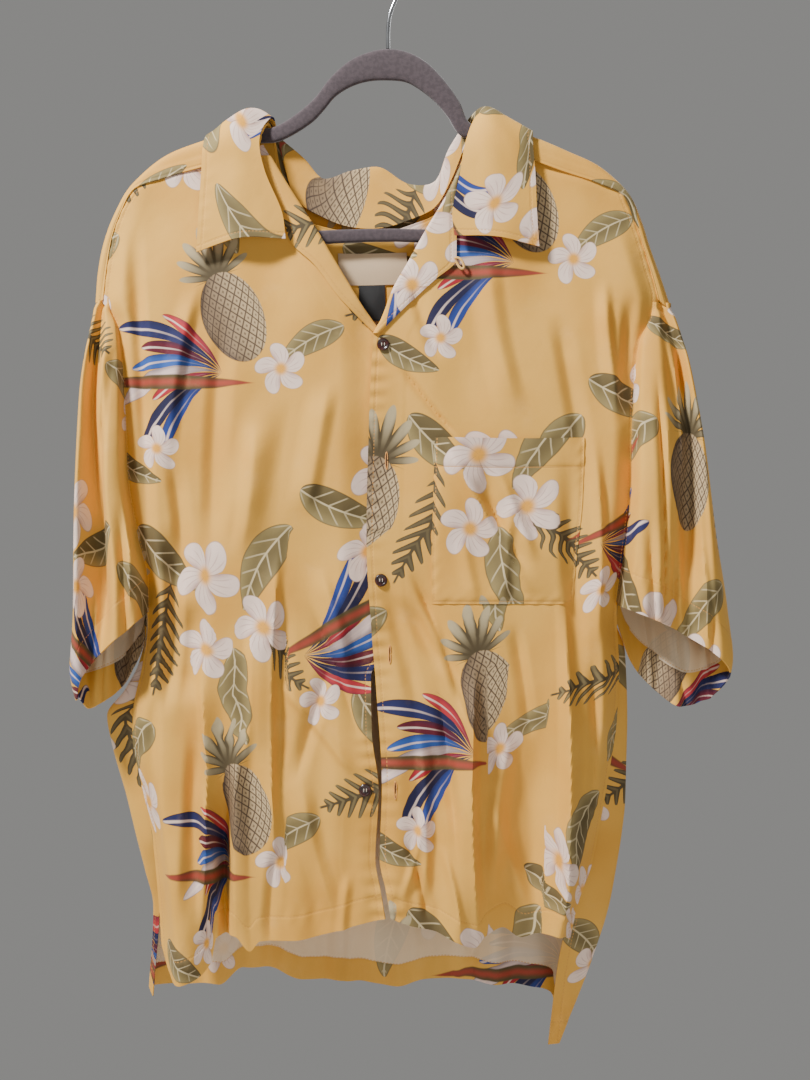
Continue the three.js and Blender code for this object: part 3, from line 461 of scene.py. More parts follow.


# The print: a repeat of listed motifs in layers. Every corner of a piece carries its place
# inside the nearest motif of each layer, and the material draws the motif there.

REPEAT = np.array([410.0, 440.0])
MOTIFS = {
    "blossom": (table("x y turn size", [
        (58, 62, 10, 34), (112, 96, 60, 31), (52, 128, 35, 28), (296, 150, 20, 35), (348, 196, 75, 31),
        (286, 216, 5, 28), (128, 318, 50, 33), (182, 354, 30, 30), (250, 36, 15, 21), (24, 262, 66, 22),
        (372, 404, 40, 24),
    ]), (1, 1)),
    "leaf": (table("x y turn size", [
        (104, 36, 128, 46), (16, 92, 20, 42), (110, 148, 150, 42), (250, 138, 40, 44), (352, 140, 124, 46),
        (318, 258, 78, 44), (84, 286, 48, 44), (186, 304, 140, 42), (134, 374, 96, 44), (218, 54, 28, 32),
        (398, 378, 150, 34),
    ]), (1, 0.42)),
    "frond": (table("x y turn size", [
        (240, 206, 108, 52), (380, 226, 30, 48), (70, 342, 164, 50),
    ]), (1, 0.5)),
    "spray": (table("x y turn size", [
        (60, 206, -14, 96), (262, 394, 194, 92),
    ]), (1, 0.8)),
    "pine": (table("x y turn size", [
        (186, 168, 196, 70), (322, 340, 158, 66),
    ]), (0.7, 1)),
}


def place_in_motifs(centres, corners, rows, reach):
    """The corners' places inside the nearest motif, in motif sizes, and a share that tells it apart."""
    best = np.full(len(centres), np.inf)
    places = np.zeros((len(centres), 4, 3))
    for i, (x, y, turn, size) in enumerate(zip(*rows.values())):
        middle = np.array([x, y])
        whole = np.round((centres - middle) / REPEAT) * REPEAT
        angle = math.radians(turn)
        axes = np.array([[math.cos(angle), -math.sin(angle)], [math.sin(angle), math.cos(angle)]]) / size
        near = (centres - middle - whole) @ axes
        far = np.hypot(near[:, 0] / reach[0], near[:, 1] / reach[1])
        closer = far < best
        best[closer] = far[closer]
        local = (corners - middle - whole[:, None, :]) @ axes
        share = np.full(local.shape[:2] + (1,), (i * 0.37) % 1)
        places[closer] = np.concatenate((local, share), axis=-1)[closer]
    return places


def put_attribute(mesh, name, kind, domain, values):
    attribute = mesh.attributes.new(name, kind, domain)
    field = {"FLOAT": "value", "FLOAT_VECTOR": "vector"}[kind]
    attribute.data.foreach_set(field, np.ascontiguousarray(values, dtype=np.float32).ravel())


def new_object(name, mesh, node=None):
    obj = bpy.data.objects.new(name, mesh)
    bpy.context.scene.collection.objects.link(obj)
    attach(obj, "root")
    if node:
        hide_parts(node)
    return obj


def mesh_from(name, verts, faces, sharp=55):
    mesh = bpy.data.meshes.new(name)
    mesh.from_pydata((np.asarray(verts) * MM).tolist(), [], faces)
    mesh.shade_smooth()
    mesh.set_sharp_from_angle(angle=math.radians(sharp))
    return mesh


def shell(name, node, points, flat, materials, outside=1, thick=CLOTH, edges=None, turned=None, slot="cloth"):
    """A thin closed shell over a grid of points. The first material is on its outside and rims, the
    second inside, and turned marks where the outside's cloth is folded over onto the inside."""
    rows, columns = points.shape[:2]
    lift = normals(points) * outside * (np.broadcast_to(thick, (rows, columns)) / 2)[..., None]
    verts = np.concatenate(((points + lift).reshape(-1, 3), (points - lift).reshape(-1, 3)))
    index = np.arange(rows * columns).reshape(rows, columns)
    a, b, c, d = index[:-1, :-1], index[:-1, 1:], index[1:, 1:], index[1:, :-1]
    quads = np.stack([a, b, c, d], axis=-1).reshape(-1, 4)
    inner = quads[:, ::-1] + rows * columns
    border = np.concatenate((index[0, :-1], index[:-1, -1], index[-1, :0:-1], index[:0:-1, 0]))
    after = np.roll(border, -1)
    rim = np.stack([after, border, border + rows * columns, after + rows * columns], axis=-1)
    faces = np.concatenate((quads, inner, rim))
    if outside < 0:
        faces = faces[:, ::-1]
    mesh = mesh_from(name, verts, faces.tolist())
    for material in materials:
        mesh.materials.append(material)
    inside = np.zeros(len(faces), dtype=np.int32)
    if len(materials) > 1:
        plain = np.ones(len(quads), bool) if turned is None else ~turned[:-1, :-1].reshape(-1)
        inside[len(quads):2 * len(quads)] = plain
    mesh.polygons.foreach_set("material_index", inside)

    both = np.concatenate((flat.reshape(-1, 2),) * 2)
    corners = both[faces]
    centres = corners.mean(axis=1)
    cloth_map = mesh.uv_layers.new(name="cloth")
    cloth_map.data.foreach_set("uv", (corners * MM * 10).astype(np.float32).ravel())
    if slot == "cloth":
        for motif, (placed, reach) in MOTIFS.items():
            places = place_in_motifs(centres, corners, placed, reach)
            put_attribute(mesh, motif, "FLOAT_VECTOR", "CORNER", places)
        if edges is None:
            edges = np.full((rows, columns, 3), 99.0)
        put_attribute(mesh, "edges", "FLOAT_VECTOR", "POINT", np.concatenate((edges.reshape(-1, 3),) * 2))
    return new_object(name, mesh, node)


def rope(name, node, path, radius, material, sides=16):
    """A round cord or wire along a path, with closed ends."""
    path = np.asarray(path, dtype=float)
    ahead = np.gradient(path, axis=0)
    ahead /= np.linalg.norm(ahead, axis=1, keepdims=True)
    side = np.cross(ahead[0], [0.0, 1.0, 0.0] if abs(ahead[0][1]) < 0.9 else [1.0, 0.0, 0.0])
    verts = []
    for place, forward in zip(path, ahead):
        side = side - forward * np.dot(side, forward)
        side /= np.linalg.norm(side)
        other = np.cross(forward, side)
        angles = np.arange(sides) * 2 * PI / sides
        verts += [place + radius * (math.cos(t) * side + math.sin(t) * other) for t in angles]
    faces = []
    for j in range(len(path) - 1):
        for i in range(sides):
            k = (i + 1) % sides
            faces.append((j * sides + i, j * sides + k, (j + 1) * sides + k, (j + 1) * sides + i))
    faces.append(tuple(range(sides))[::-1])
    faces.append(tuple(range((len(path) - 1) * sides, len(path) * sides)))
    mesh = mesh_from(name, verts, faces)
    mesh.materials.append(material)
    return new_object(name, mesh, node)


# Materials

class Field:
    """A number or vector that varies over a surface; arithmetic on it adds nodes to the material."""

    def __init__(self, tree, socket):
        self.tree = tree
        self.socket = socket

    def math(self, operation, *others):
        node = self.tree.nodes.new("ShaderNodeMath")
        node.operation = operation
        for slot, value in zip(node.inputs, (self,) + others):
            if isinstance(value, Field):
                self.tree.links.new(value.socket, slot)
            else:
                slot.default_value = value
        return Field(self.tree, node.outputs[0])

    def less_from(self, number):
        return self.math("MULTIPLY", -1.0) + number

    def ramp(self, low, high, start=0.0, end=1.0):
        """A soft step from start at low to end at high."""
        node = self.tree.nodes.new("ShaderNodeMapRange")
        node.interpolation_type = "SMOOTHSTEP"
        self.tree.links.new(self.socket, node.inputs["Value"])
        for slot, value in (("From Min", low), ("From Max", high), ("To Min", start), ("To Max", end)):
            node.inputs[slot].default_value = value
        return Field(self.tree, node.outputs["Result"])

    def split(self):
        node = self.tree.nodes.new("ShaderNodeSeparateXYZ")
        self.tree.links.new(self.socket, node.inputs[0])
        return [Field(self.tree, node.outputs[k]) for k in range(3)]

    def stops(self, colours, hard=False):
        """A colour that runs through the given ones as this number goes from 0 to 1."""
        node = self.tree.nodes.new("ShaderNodeValToRGB")
        ramp = node.color_ramp
        ramp.interpolation = "CONSTANT" if hard else "LINEAR"
        while len(ramp.elements) < len(colours):
            ramp.elements.new(0.5)
        last = len(colours) if hard else len(colours) - 1
        for k, colour in enumerate(colours):
            ramp.elements[k].position = k / last
            ramp.elements[k].color = linear(colour)
        self.tree.links.new(self.socket, node.inputs["Fac"])
        return node.outputs["Color"]


OPERATIONS = {
    "__add__": "ADD", "__sub__": "SUBTRACT", "__mul__": "MULTIPLY", "__truediv__": "DIVIDE",
    "abs": "ABSOLUTE", "sin": "SINE", "arcsine": "ARCSINE", "angle": "ARCTAN2", "power": "POWER",
    "least": "MINIMUM", "most": "MAXIMUM", "part": "FRACT", "whole": "FLOOR",
}
for method, operation in OPERATIONS.items():
    setattr(Field, method, partialmethod(Field.math, operation))


def linear(rgb):
    """A colour from 0-255 screen values to the linear ones that materials use."""
    parts = [v / 255 for v in rgb]
    return tuple(v / 12.92 if v <= 0.04045 else ((v + 0.055) / 1.055) ** 2.4 for v in parts) + (1.0,)


def attribute_field(tree, name):
    node = tree.nodes.new("ShaderNodeAttribute")
    node.attribute_name = name
    return Field(tree, node.outputs["Vector"])


def over(tree, below, above, mask):
    """Lays one colour over another where the mask is 1. Each colour is a socket or screen values."""
    node = tree.nodes.new("ShaderNodeMix")
    node.data_type = "RGBA"
    tree.links.new(mask.socket, node.inputs["Factor"])
    for slot, colour in ((node.inputs["A"], below), (node.inputs["B"], above)):
        if isinstance(colour, tuple):
            slot.default_value = linear(colour)
        else:
            tree.links.new(colour, slot)
    return node.outputs["Result"]


def noise(tree, vector, scale, detail=2.0, roughness=0.5):
    node = tree.nodes.new("ShaderNodeTexNoise")
    set_inputs(node, {"Scale": scale, "Detail": detail, "Roughness": roughness})
    tree.links.new(vector, node.inputs["Vector"])
    return Field(tree, node.outputs["Fac"])


def set_inputs(node, values):
    for name, value in values.items():
        node.inputs[name].default_value = value


def shader_of(material):
    return material.node_tree.nodes["Principled BSDF"]


def object_place(tree):
    return tree.nodes.new("ShaderNodeTexCoord").outputs["Object"]


def cloth_place(tree):
    """The cloth's own coordinates, in hundredths of a metre."""
    node = tree.nodes.new("ShaderNodeUVMap")
    node.uv_map = "cloth"
    return node.outputs["UV"]


def relief(material, height, strength, distance):
    """Raises the surface by the height, as a bump."""
    tree = material.node_tree
    bump = tree.nodes.new("ShaderNodeBump")
    set_inputs(bump, {"Strength": strength, "Distance": distance})
    tree.links.new(height.socket, bump.inputs["Height"])
    tree.links.new(bump.outputs["Normal"], shader_of(material).inputs["Normal"])


# The print's colours, as screen values from 0 to 255

GROUND = (225, 170, 74)
GROUND_DEEP = (217, 157, 62)
CREAM = (232, 206, 190)
CREAM_SHADE = (186, 150, 138)
PETAL_LINE = (150, 116, 92)
THROAT = (226, 160, 60)
LEAF = (146, 128, 82)
LEAF_DARK = (84, 70, 42)
LEAF_VEIN = (196, 178, 138)
FROND = (80, 68, 46)
FROND_LIGHT = (132, 116, 78)
SPRAY = [(40, 62, 132), (30, 30, 62), (160, 34, 44), (216, 190, 182), (46, 84, 156), (92, 24, 40),
         (34, 38, 82), (172, 48, 54)]
PINE = (122, 100, 76)
PINE_LIGHT = (200, 174, 132)
PINE_LINE = (62, 48, 40)
INK = (58, 44, 34)
WRONG = (228, 206, 174)
BEAK = (166, 62, 48)
SPRAY_HEART = (30, 28, 54)
WORN = (240, 200, 140)
STITCH = (206, 146, 72)


# Each motif is drawn in its own sizes: it reaches from about -1 to 1, and the numbers are its shares.

def draw_frond(tree, colour):
    x, y, share = attribute_field(tree, "frond").split()
    off = y.abs()
    width = (x * x).less_from(1.0).most(0.0).power(0.8) * 0.42 - x.abs().ramp(0.97, 1.02, 0.0, 0.1)
    leaflets = ((x + off * -0.9) * 26.0).sin()
    body = (width * leaflets.ramp(-0.8, 0.9, 0.1, 1.0) - off).ramp(-0.008, 0.012)
    stem = off.ramp(0.012, 0.03, 1.0, 0.0) * x.abs().ramp(1.0, 1.05, 1.0, 0.0)
    tone = over(tree, FROND, FROND_LIGHT, leaflets.ramp(0.5, 1.0) * share.ramp(0.0, 1.0, 0.3, 0.8))
    return over(tree, colour, tone, body.most(stem))


def draw_leaf(tree, colour):
    x, y, share = attribute_field(tree, "leaf").split()
    bent = y + (x * x * 0.12)
    off = bent.abs()
    width = (x * x).less_from(1.0).most(0.0).power(0.62) * (x * -0.35 + 1.0) * 0.36
    width = width - x.abs().ramp(0.97, 1.02, 0.0, 0.1)
    inside = width - off
    body = inside.ramp(-0.012, 0.012)
    half = bent.ramp(-0.02, 0.02)
    veins = ((x + off * -1.1) * 17.0).sin().ramp(0.86, 0.98) * inside.ramp(0.02, 0.08)
    lit = half.most(share.ramp(0.45, 0.5, 0.25, 0.85)) * inside.ramp(0.0, 0.3, 1.0, 0.45)
    tone = over(tree, LEAF_DARK, LEAF, lit)
    tone = over(tree, tone, LEAF_VEIN, (veins * 0.75).most(off.ramp(0.012, 0.026, 1.0, 0.0)))
    tone = over(tree, tone, INK, inside.ramp(0.0, 0.03, 0.7, 0.0))
    return over(tree, colour, tone, body)


def draw_pine(tree, colour):
    x, y, _ = attribute_field(tree, "pine").split()
    low = y + 0.28
    round_off = (x * x * 5.6) + (low * low * 2.4)
    body = round_off.ramp(0.97, 1.03, 1.0, 0.0)
    side = (x * 2.2).arcsine() * 0.42
    one = ((side * 1.5 + y) * 17.0).sin().abs()
    two = ((side * 1.5 - y) * 17.0).sin().abs()
    scale = one.least(two)
    tone = over(tree, PINE, PINE_LIGHT, x.ramp(-0.35, 0.3, 0.85, 0.05) * scale.ramp(0.1, 0.6, 0.4, 1.0))
    tone = over(tree, tone, PINE_LINE, scale.ramp(0.08, 0.34, 0.9, 0.0))
    tone = over(tree, tone, PINE_LINE, scale.ramp(0.86, 0.95, 0.0, 0.6))
    tone = over(tree, tone, PINE_LINE, round_off.ramp(0.6, 1.0, 0.0, 0.6) * x.ramp(-0.1, 0.3))
    up = y - 0.3
    turn = x.angle(up)
    blades = (turn * 7.5 + 1.57).sin().abs()
    reach = blades * 0.34 + (turn.abs() * -0.18) + 0.42
    away = (x * x + up * up).power(0.5)
    crown = (reach - away).ramp(-0.01, 0.015) * turn.abs().ramp(1.45, 1.6, 1.0, 0.0)
    crown_tone = over(tree, FROND, LEAF_VEIN, blades.ramp(0.3, 0.95, 0.0, 0.8) * away.ramp(0.1, 0.6))
    colour = over(tree, colour, crown_tone, crown)
    return over(tree, colour, tone, body)


def draw_spray(tree, colour):
    """A bird-of-paradise head: curved, overlapping blades over a long beak."""
    x, y, share = attribute_field(tree, "spray").split()
    along = x + 0.62
    away = (along * along + y * y).power(0.5)
    turn = y.angle(along) + away * 0.42 + share * 0.4
    place = (turn + 0.62) * 4.6
    blade = place.part() - 0.5
    middle = (place.whole() * 2.4).sin() * 0.2 + 1.02
    reach = away / middle
    width = (reach * 3.14).sin().most(0.0).power(0.6) * 0.56
    within = place.ramp(0.0, 0.02) * place.ramp(8.0, 8.02, 1.0, 0.0) * reach.ramp(0.99, 1.0, 1.0, 0.0)
    inside = width - blade.abs()
    body = inside.ramp(-0.01, 0.02) * within
    tone = (place.whole() / 8.0 + 0.01).stops(SPRAY, hard=True)
    heart = reach.ramp(0.1, 0.6, 0.7, 0.0).most(blade.ramp(0.1, 0.5, 0.0, 0.55))
    tone = over(tree, tone, SPRAY_HEART, heart)
    streak = (blade + reach * 0.1).abs().ramp(0.03, 0.1, 1.0, 0.0) * reach.ramp(0.3, 0.9, 0.1, 0.85)
    tone = over(tree, tone, CREAM, streak)
    tone = over(tree, tone, INK, inside.ramp(0.0, 0.07, 0.75, 0.0))
    colour = over(tree, colour, tone, body)
    beak = (along * 0.24 + y + 0.1).abs()
    thick = (along + 0.35) * along.less_from(1.42) * 0.1
    shape = (thick - beak).ramp(-0.006, 0.012)
    beak_tone = over(tree, LEAF_DARK, BEAK, beak.ramp(0.0, 0.06, 0.8, 0.0))
    return over(tree, colour, beak_tone, shape)


def draw_blossom(tree, colour):
    x, y, share = attribute_field(tree, "blossom").split()
    away = (x * x + y * y).power(0.5)
    turn = y.angle(x) + away * 0.55 + share * 2.0
    place = turn * (5 / (2 * PI)) + 5.0
    petal = place.part() - 0.5
    reach = (petal * petal * -2.1) + 1.0 + petal * 0.14
    inside = reach - away
    body = inside.ramp(-0.02, 0.02)
    fold = petal.ramp(-0.5, -0.12, 0.9, 0.0) * away.ramp(0.05, 0.5)
    tone = over(tree, CREAM, CREAM_SHADE, fold)
    tone = over(tree, tone, THROAT, away.ramp(0.1, 0.36, 1.0, 0.0))
    lines = ((petal * 26.0).sin().ramp(0.7, 1.0) * away.ramp(0.2, 0.35)) * away.ramp(0.55, 0.85, 0.6, 0.0)
    tone = over(tree, tone, CREAM_SHADE, lines)
    edge = petal.abs().ramp(0.455, 0.5).most(inside.ramp(0.0, 0.035, 1.0, 0.0)) * 0.75
    tone = over(tree, tone, PETAL_LINE, edge)
    return over(tree, colour, tone, body)


def cloth_material(name, wrong_side=False):
    """The printed rayon. Its wrong side is paler and greyer, with the print only showing through."""
    material = bpy.data.materials.new(name)
    material.use_nodes = True
    tree = material.node_tree
    shader = shader_of(material)
    place = object_place(tree)
    cloth = cloth_place(tree)
    u, v, _ = Field(tree, cloth).split()

    patch = noise(tree, place, 9.0, detail=3.0)
    colour = over(tree, GROUND, GROUND_DEEP, patch.ramp(0.35, 0.7))
    for draw in (draw_frond, draw_leaf, draw_pine, draw_spray, draw_blossom):
        colour = draw(tree, colour)
    if wrong_side:
        colour = over(tree, colour, WRONG, patch.ramp(0.0, 1.0, 0.78, 0.86))

    thread = noise(tree, cloth, 60.0, detail=4.0, roughness=0.7)
    slub = (thread - 0.5) * 0.1 + 1.0
    worn = noise(tree, place, 26.0, detail=5.0, roughness=0.65).ramp(0.55, 0.85, 0.0, 0.16)
    colour = over(tree, colour, WORN, worn)
    tone = tree.nodes.new("ShaderNodeHueSaturation")
    tree.links.new(colour, tone.inputs["Color"])
    tree.links.new(slub.socket, tone.inputs["Value"])

    inner, outer, hem = attribute_field(tree, "edges").split()
    across = (u * 200.0).sin().ramp(-0.5, 0.0)
    down = (v * 200.0).sin().ramp(-0.5, 0.0)
    stitches = [near.abs().ramp(0.3, 0.62, 1.0, 0.0) * run
                for near, run in ((inner, down), (outer, down), (hem, across))]
    furrows = [near.abs().ramp(0.0, 1.8, 1.0, 0.0) for near in (inner, outer, hem)]
    stitch = stitches[0].most(stitches[1]).most(stitches[2])
    furrow = furrows[0].most(furrows[1]).most(furrows[2])
    base = over(tree, tone.outputs["Color"], STITCH, stitch * 0.6)
    tree.links.new(base, shader.inputs["Base Color"])

    twill = ((u * 62.0 + v * 62.0) * 10.0).sin() * 0.012
    crumple = noise(tree, place, 32.0, detail=4.0, roughness=0.5) * 1.1
    fine = noise(tree, place, 130.0, detail=3.0, roughness=0.6) * 0.16
    relief(material, twill + crumple + fine + furrow * -0.35 + stitch * 0.18, 0.55, 0.0012)
    tree.links.new(thread.ramp(0.2, 0.8, 0.66, 0.82).socket, shader.inputs["Roughness"])
    set_inputs(shader, {
        "Specular IOR Level": 0.28, "Sheen Weight": 0.12, "Sheen Roughness": 0.4,
        "Sheen Tint": linear((255, 226, 176)),
    })
    return material


def plain_material(name, colour, roughness, metallic=0.0, coat=0.0, sheen=0.0):
    material = bpy.data.materials.new(name)
    material.use_nodes = True
    set_inputs(shader_of(material), {
        "Base Color": linear(colour), "Roughness": roughness, "Metallic": metallic,
        "Coat Weight": coat, "Sheen Weight": sheen,
    })
    return material


def textured(material, colour_a, colour_b, scale, bump_scale, distance):
    """Gives a plain material two mixed tones and a fine relief."""
    tree = material.node_tree
    place = object_place(tree)
    colour = over(tree, colour_a, colour_b, noise(tree, place, scale, detail=4.0).ramp(0.4, 0.6))
    tree.links.new(colour, shader_of(material).inputs["Base Color"])
    relief(material, noise(tree, place, bump_scale, detail=3.0), 0.6, distance)
    return material


def woven_material(name, colour_a, colour_b, rows, sheen):
    """A narrow woven tape: fine ribs across, with warp threads between them."""
    material = plain_material(name, colour_a, 0.7, sheen=sheen)
    tree = material.node_tree
    u, v, _ = Field(tree, cloth_place(tree)).split()
    weave = (v * rows).sin() * (u * rows * 1.3).sin()
    colour = over(tree, colour_a, colour_b, weave.ramp(-1.0, 1.0))
    tree.links.new(colour, shader_of(material).inputs["Base Color"])
    relief(material, weave, 0.5, 0.0002)
    return material


def button_material():
    """Dark coconut shell with four sewing holes, whose insides are painted near-black as painted shade."""
    shell_brown = plain_material("coconut shell", (60, 26, 22), 0.3, coat=0.3)
    material = textured(shell_brown, (66, 28, 24), (38, 14, 13), 240.0, 900.0, 0.0001)
    tree = material.node_tree
    base = shader_of(material).inputs["Base Color"]
    x, y, _ = Field(tree, object_place(tree)).split()
    aside_x = x.abs() - 0.00125
    aside_y = y.abs() - 0.00125
    away = (aside_x * aside_x + aside_y * aside_y).power(0.5)
    hole = away.ramp(0.00058, 0.00072, 1.0, 0.0)
    # Painted shade: the four holes are drawn near-black, standing in for the shade inside them.
    tree.links.new(over(tree, base.links[0].from_socket, (10, 6, 6), hole), base)
    return material


PRINT = cloth_material("printed rayon")
WRONG_SIDE = cloth_material("printed rayon, wrong side", wrong_side=True)
LABEL = woven_material("woven label", (220, 194, 158), (190, 160, 124), 620.0, 0.1)
TAB = woven_material("satin tab", (26, 25, 26), (10, 10, 10), 700.0, 0.04)
FLOCK = textured(plain_material("flock", (78, 66, 70), 0.95, sheen=0.5),
                 (72, 60, 64), (62, 51, 55), 300.0, 1800.0, 0.00015)
CHROME = textured(plain_material("chrome", (205, 207, 210), 0.16, metallic=1.0),
                  (208, 210, 213), (190, 192, 196), 60.0, 240.0, 0.00004)
LOOP_CLOTH = textured(plain_material("loop cloth", GROUND, 0.75, sheen=0.25),
                      GROUND, (214, 170, 100), 300.0, 2400.0, 0.0002)
SHELL = button_material()
THREAD = plain_material("thread", (206, 196, 176), 0.8, sheen=0.3)
HOLE_THREAD = plain_material("buttonhole thread", (214, 150, 78), 0.8, sheen=0.2)
# Dark brown for the painted shade inside each buttonhole slit.
SLIT_SHADE = plain_material("painted shade in buttonhole slit", (70, 40, 22), 0.9)


# Pieces of cloth

SHIFT = {
    "front_right": (60, 20), "front_left": (200, 120), "back": (120, 240), "yoke": (20, 60),
    "collar": (250, 90), "sleeve_right": (90, 300), "sleeve_left": (240, 20), "pocket": (212, 128),
    "lapel_right": (140, 90), "lapel_left": (30, 260),
}


def hanging_map(points, name):
    """The cloth's own coordinates on a panel that hangs flat: x and drop, with the folds' extra length."""
    extra = np.linalg.norm(np.diff(points, axis=1), axis=-1) - np.abs(np.diff(points[..., 0], axis=1))
    gained = np.cumsum(np.concatenate((np.zeros((len(points), 1)), extra), axis=1), axis=1)
    sign = np.sign(points[0, -1, 0] - points[0, 0, 0])
    return np.stack([points[..., 0] + sign * gained, -points[..., 2]], axis=-1) + SHIFT[name]


def wrapped_map(points, name, column, row):
    """The cloth's own coordinates on a piece that wraps round: the lengths from one column and row."""
    return np.stack([arc(points, 1, column), arc(points, 0, row)], axis=-1) + SHIFT[name]


def front_piece(name, front, forward, columns=150, rows=290):
    u, v = grid(columns, rows)
    top = front.top(u) - UNDERLAP
    drop = mix(top, front.hem(u), v)
    x = front.across(u, drop)
    from_inner = np.abs(x - front.inner(drop))
    from_outer = np.abs(front.outer(drop) - x)
    from_hem = front.hem(u) - drop
    out = forward(x, drop) - 1.5 * smooth(1 - (drop - top - 2) / 6)
    out += pucker(from_inner - 3, drop, reach=18, high=0.9) * smooth((drop - 350) / 20)
    out += pucker(from_hem - HEM_BAND, x, reach=14, high=0.5)
    out += pucker(from_outer, drop, reach=10, high=0.4)
    out -= 2.2 * smooth(1 - from_outer / 6) * smooth((drop - 600) / 30)
    points = lay(x, out, drop)
    doubled = np.maximum(smooth((HEM_BAND - from_hem) / 1.5), smooth((32 - from_inner) / 2))
    edges = np.stack([from_inner - 5, from_outer - 4, from_hem - HEM_BAND], axis=-1)
    edges[..., 0] = np.where(drop > 348, edges[..., 0], 99)
    turned = (from_hem < HEM_BAND) | (from_inner < 55)
    flat = hanging_map(points, name)
    flat[..., 0] += hidden_by_pleats(x, drop)
    return shell("cloth_" + name, name, points, flat, [PRINT, WRONG_SIDE], outside=front.inward,
                 thick=CLOTH + 0.5 * doubled, edges=edges, turned=turned)


def back_piece(columns=190, rows=240):
    u, v = grid(columns, rows)
    hem = curve(BACK_HEM, "across", "drop")(u)
    drop = mix(YOKE_DROP - 4, hem, v)

    def side(rows_of_side, name):
        return curve(rows_of_side, "drop", name)(drop)

    flat_inset = 24
    corner_inset = 6
    left_inset = mix(flat_inset, corner_inset, smooth((drop - 930) / 70))
    at = np.array([0, 0.06, 0.13, 0.87, 0.94, 1])
    right_x = side(BACK_RIGHT, "turn_x")
    left_x = side(BACK_LEFT, "turn_x")
    xs = np.stack([side(BACK_RIGHT, "seam_x") + UNDERLAP, right_x, right_x + flat_inset,
                   left_x - left_inset, left_x, side(BACK_LEFT, "seam_x") - UNDERLAP])
    flat = np.stack([back_forward(xs[2], drop), back_forward(xs[3], drop)])
    outs = np.stack([side(BACK_RIGHT, "seam_forward") - 1.5, side(BACK_RIGHT, "turn_forward"), flat[0],
                     flat[1], side(BACK_LEFT, "turn_forward"), side(BACK_LEFT, "seam_forward") - 1.5])
    x = through(at, xs, u)
    wraps = (u < at[2]) | (u > at[3])
    out = np.where(wraps, through(at, outs, u), back_forward(x, drop))
    from_hem = hem - drop
    out -= pucker(from_hem - HEM_BAND, x, reach=14, high=0.6)
    out += 1.0 * smooth(1 - (drop - YOKE_DROP + 4) / 6)
    points = lay(x, out, drop)
    turned = from_hem < HEM_BAND
    side_slit = drop > 880
    edges = np.stack([np.where(side_slit, arc(points, 1, 0) - 6, FAR),
                      np.where(side_slit, -arc(points, 1, columns) - UNDERLAP - 4, FAR),
                      from_hem - HEM_BAND], axis=-1)
    return shell("cloth_back", "back", points, wrapped_map(points, "back", columns // 2, 0),
                 [PRINT, WRONG_SIDE], outside=1, thick=CLOTH + 0.5 * turned, edges=edges, turned=turned)


def yoke_section(row):
    edge_x, edge_out, edge_drop, ridge_x, ridge_out, ridge_drop, back_x, back_drop = row
    front = lay(edge_x, edge_out, edge_drop)
    ridge = lay(ridge_x, ridge_out, ridge_drop)
    back = lay(back_x, float(back_forward(back_x, back_drop)), back_drop)
    if edge_out < 0 or ridge_out != 0:
        return [front, mix(front, ridge, 0.33), mix(front, ridge, 0.67), ridge, back]
    front_fall = mix(ridge, front, 0.25)
    back_fall = mix(ridge, back, 0.06)
    front_fall[1], back_fall[1] = -RIDGE_HALF_WIDTH, RIDGE_HALF_WIDTH
    front_fall[2] = back_fall[2] = ridge[2] - RIDGE_FALL
    return [front, front_fall, ridge, back_fall, back]


def yoke_piece(columns=260, rows=72):
    sections = np.array([yoke_section(row) for row in YOKE])
    lines = spine(sections.transpose(1, 0, 2), np.linspace(0, 1, rows + 1))
    points = spine(lines.transpose(1, 0, 2), np.linspace(0, 1, columns + 1)).transpose(1, 0, 2)
    along = arc(points, 0, 0)
    width = along[-1:]
    edges = np.stack([along - 2.2, width - along - 2.2, np.full_like(along, FAR)], axis=-1)
    doubled = np.maximum(smooth((11 - along) / 3), smooth((11 - width + along) / 3))
    flat = np.stack([points[..., 0], along], axis=-1) + SHIFT["yoke"]
    return shell("cloth_yoke", "yoke", points, flat, [PRINT], outside=1,
                 thick=1.0 + 0.9 * doubled, edges=edges)


def collar_piece(columns=240, rows=44):
    rows_of_points = np.array([[lay(*row[k:k + 3]) for k in (0, 3, 6)] for row in COLLAR])
    lines = spine(rows_of_points.transpose(1, 0, 2), np.linspace(0, 1, rows + 1))
    points = spine(lines.transpose(1, 0, 2), np.linspace(0, 1, columns + 1)).transpose(1, 0, 2)
    u, v = grid(columns, rows)
    from_outer = arc(points, 0, rows) * -1
    from_start, from_end = arc(points, 1, 0), -arc(points, 1, columns)
    lift = (ripple(points[..., 0] * 2.4, -points[..., 2] * 2.1) * 0.5
            + pucker(from_outer - 6, from_start, 9, 0.3))
    points = points + normals(points) * (lift * smooth(v * 3))[..., None]
    edges = np.stack([from_start - 5, from_end - 5, from_outer - 5], axis=-1)
    from_middle = from_start - from_start[:, columns // 2][:, None]
    flat = np.stack([from_middle, from_outer], axis=-1) + SHIFT["collar"]
    return shell("cloth_collar", "collar", points, flat, [PRINT], outside=1, thick=1.6, edges=edges)


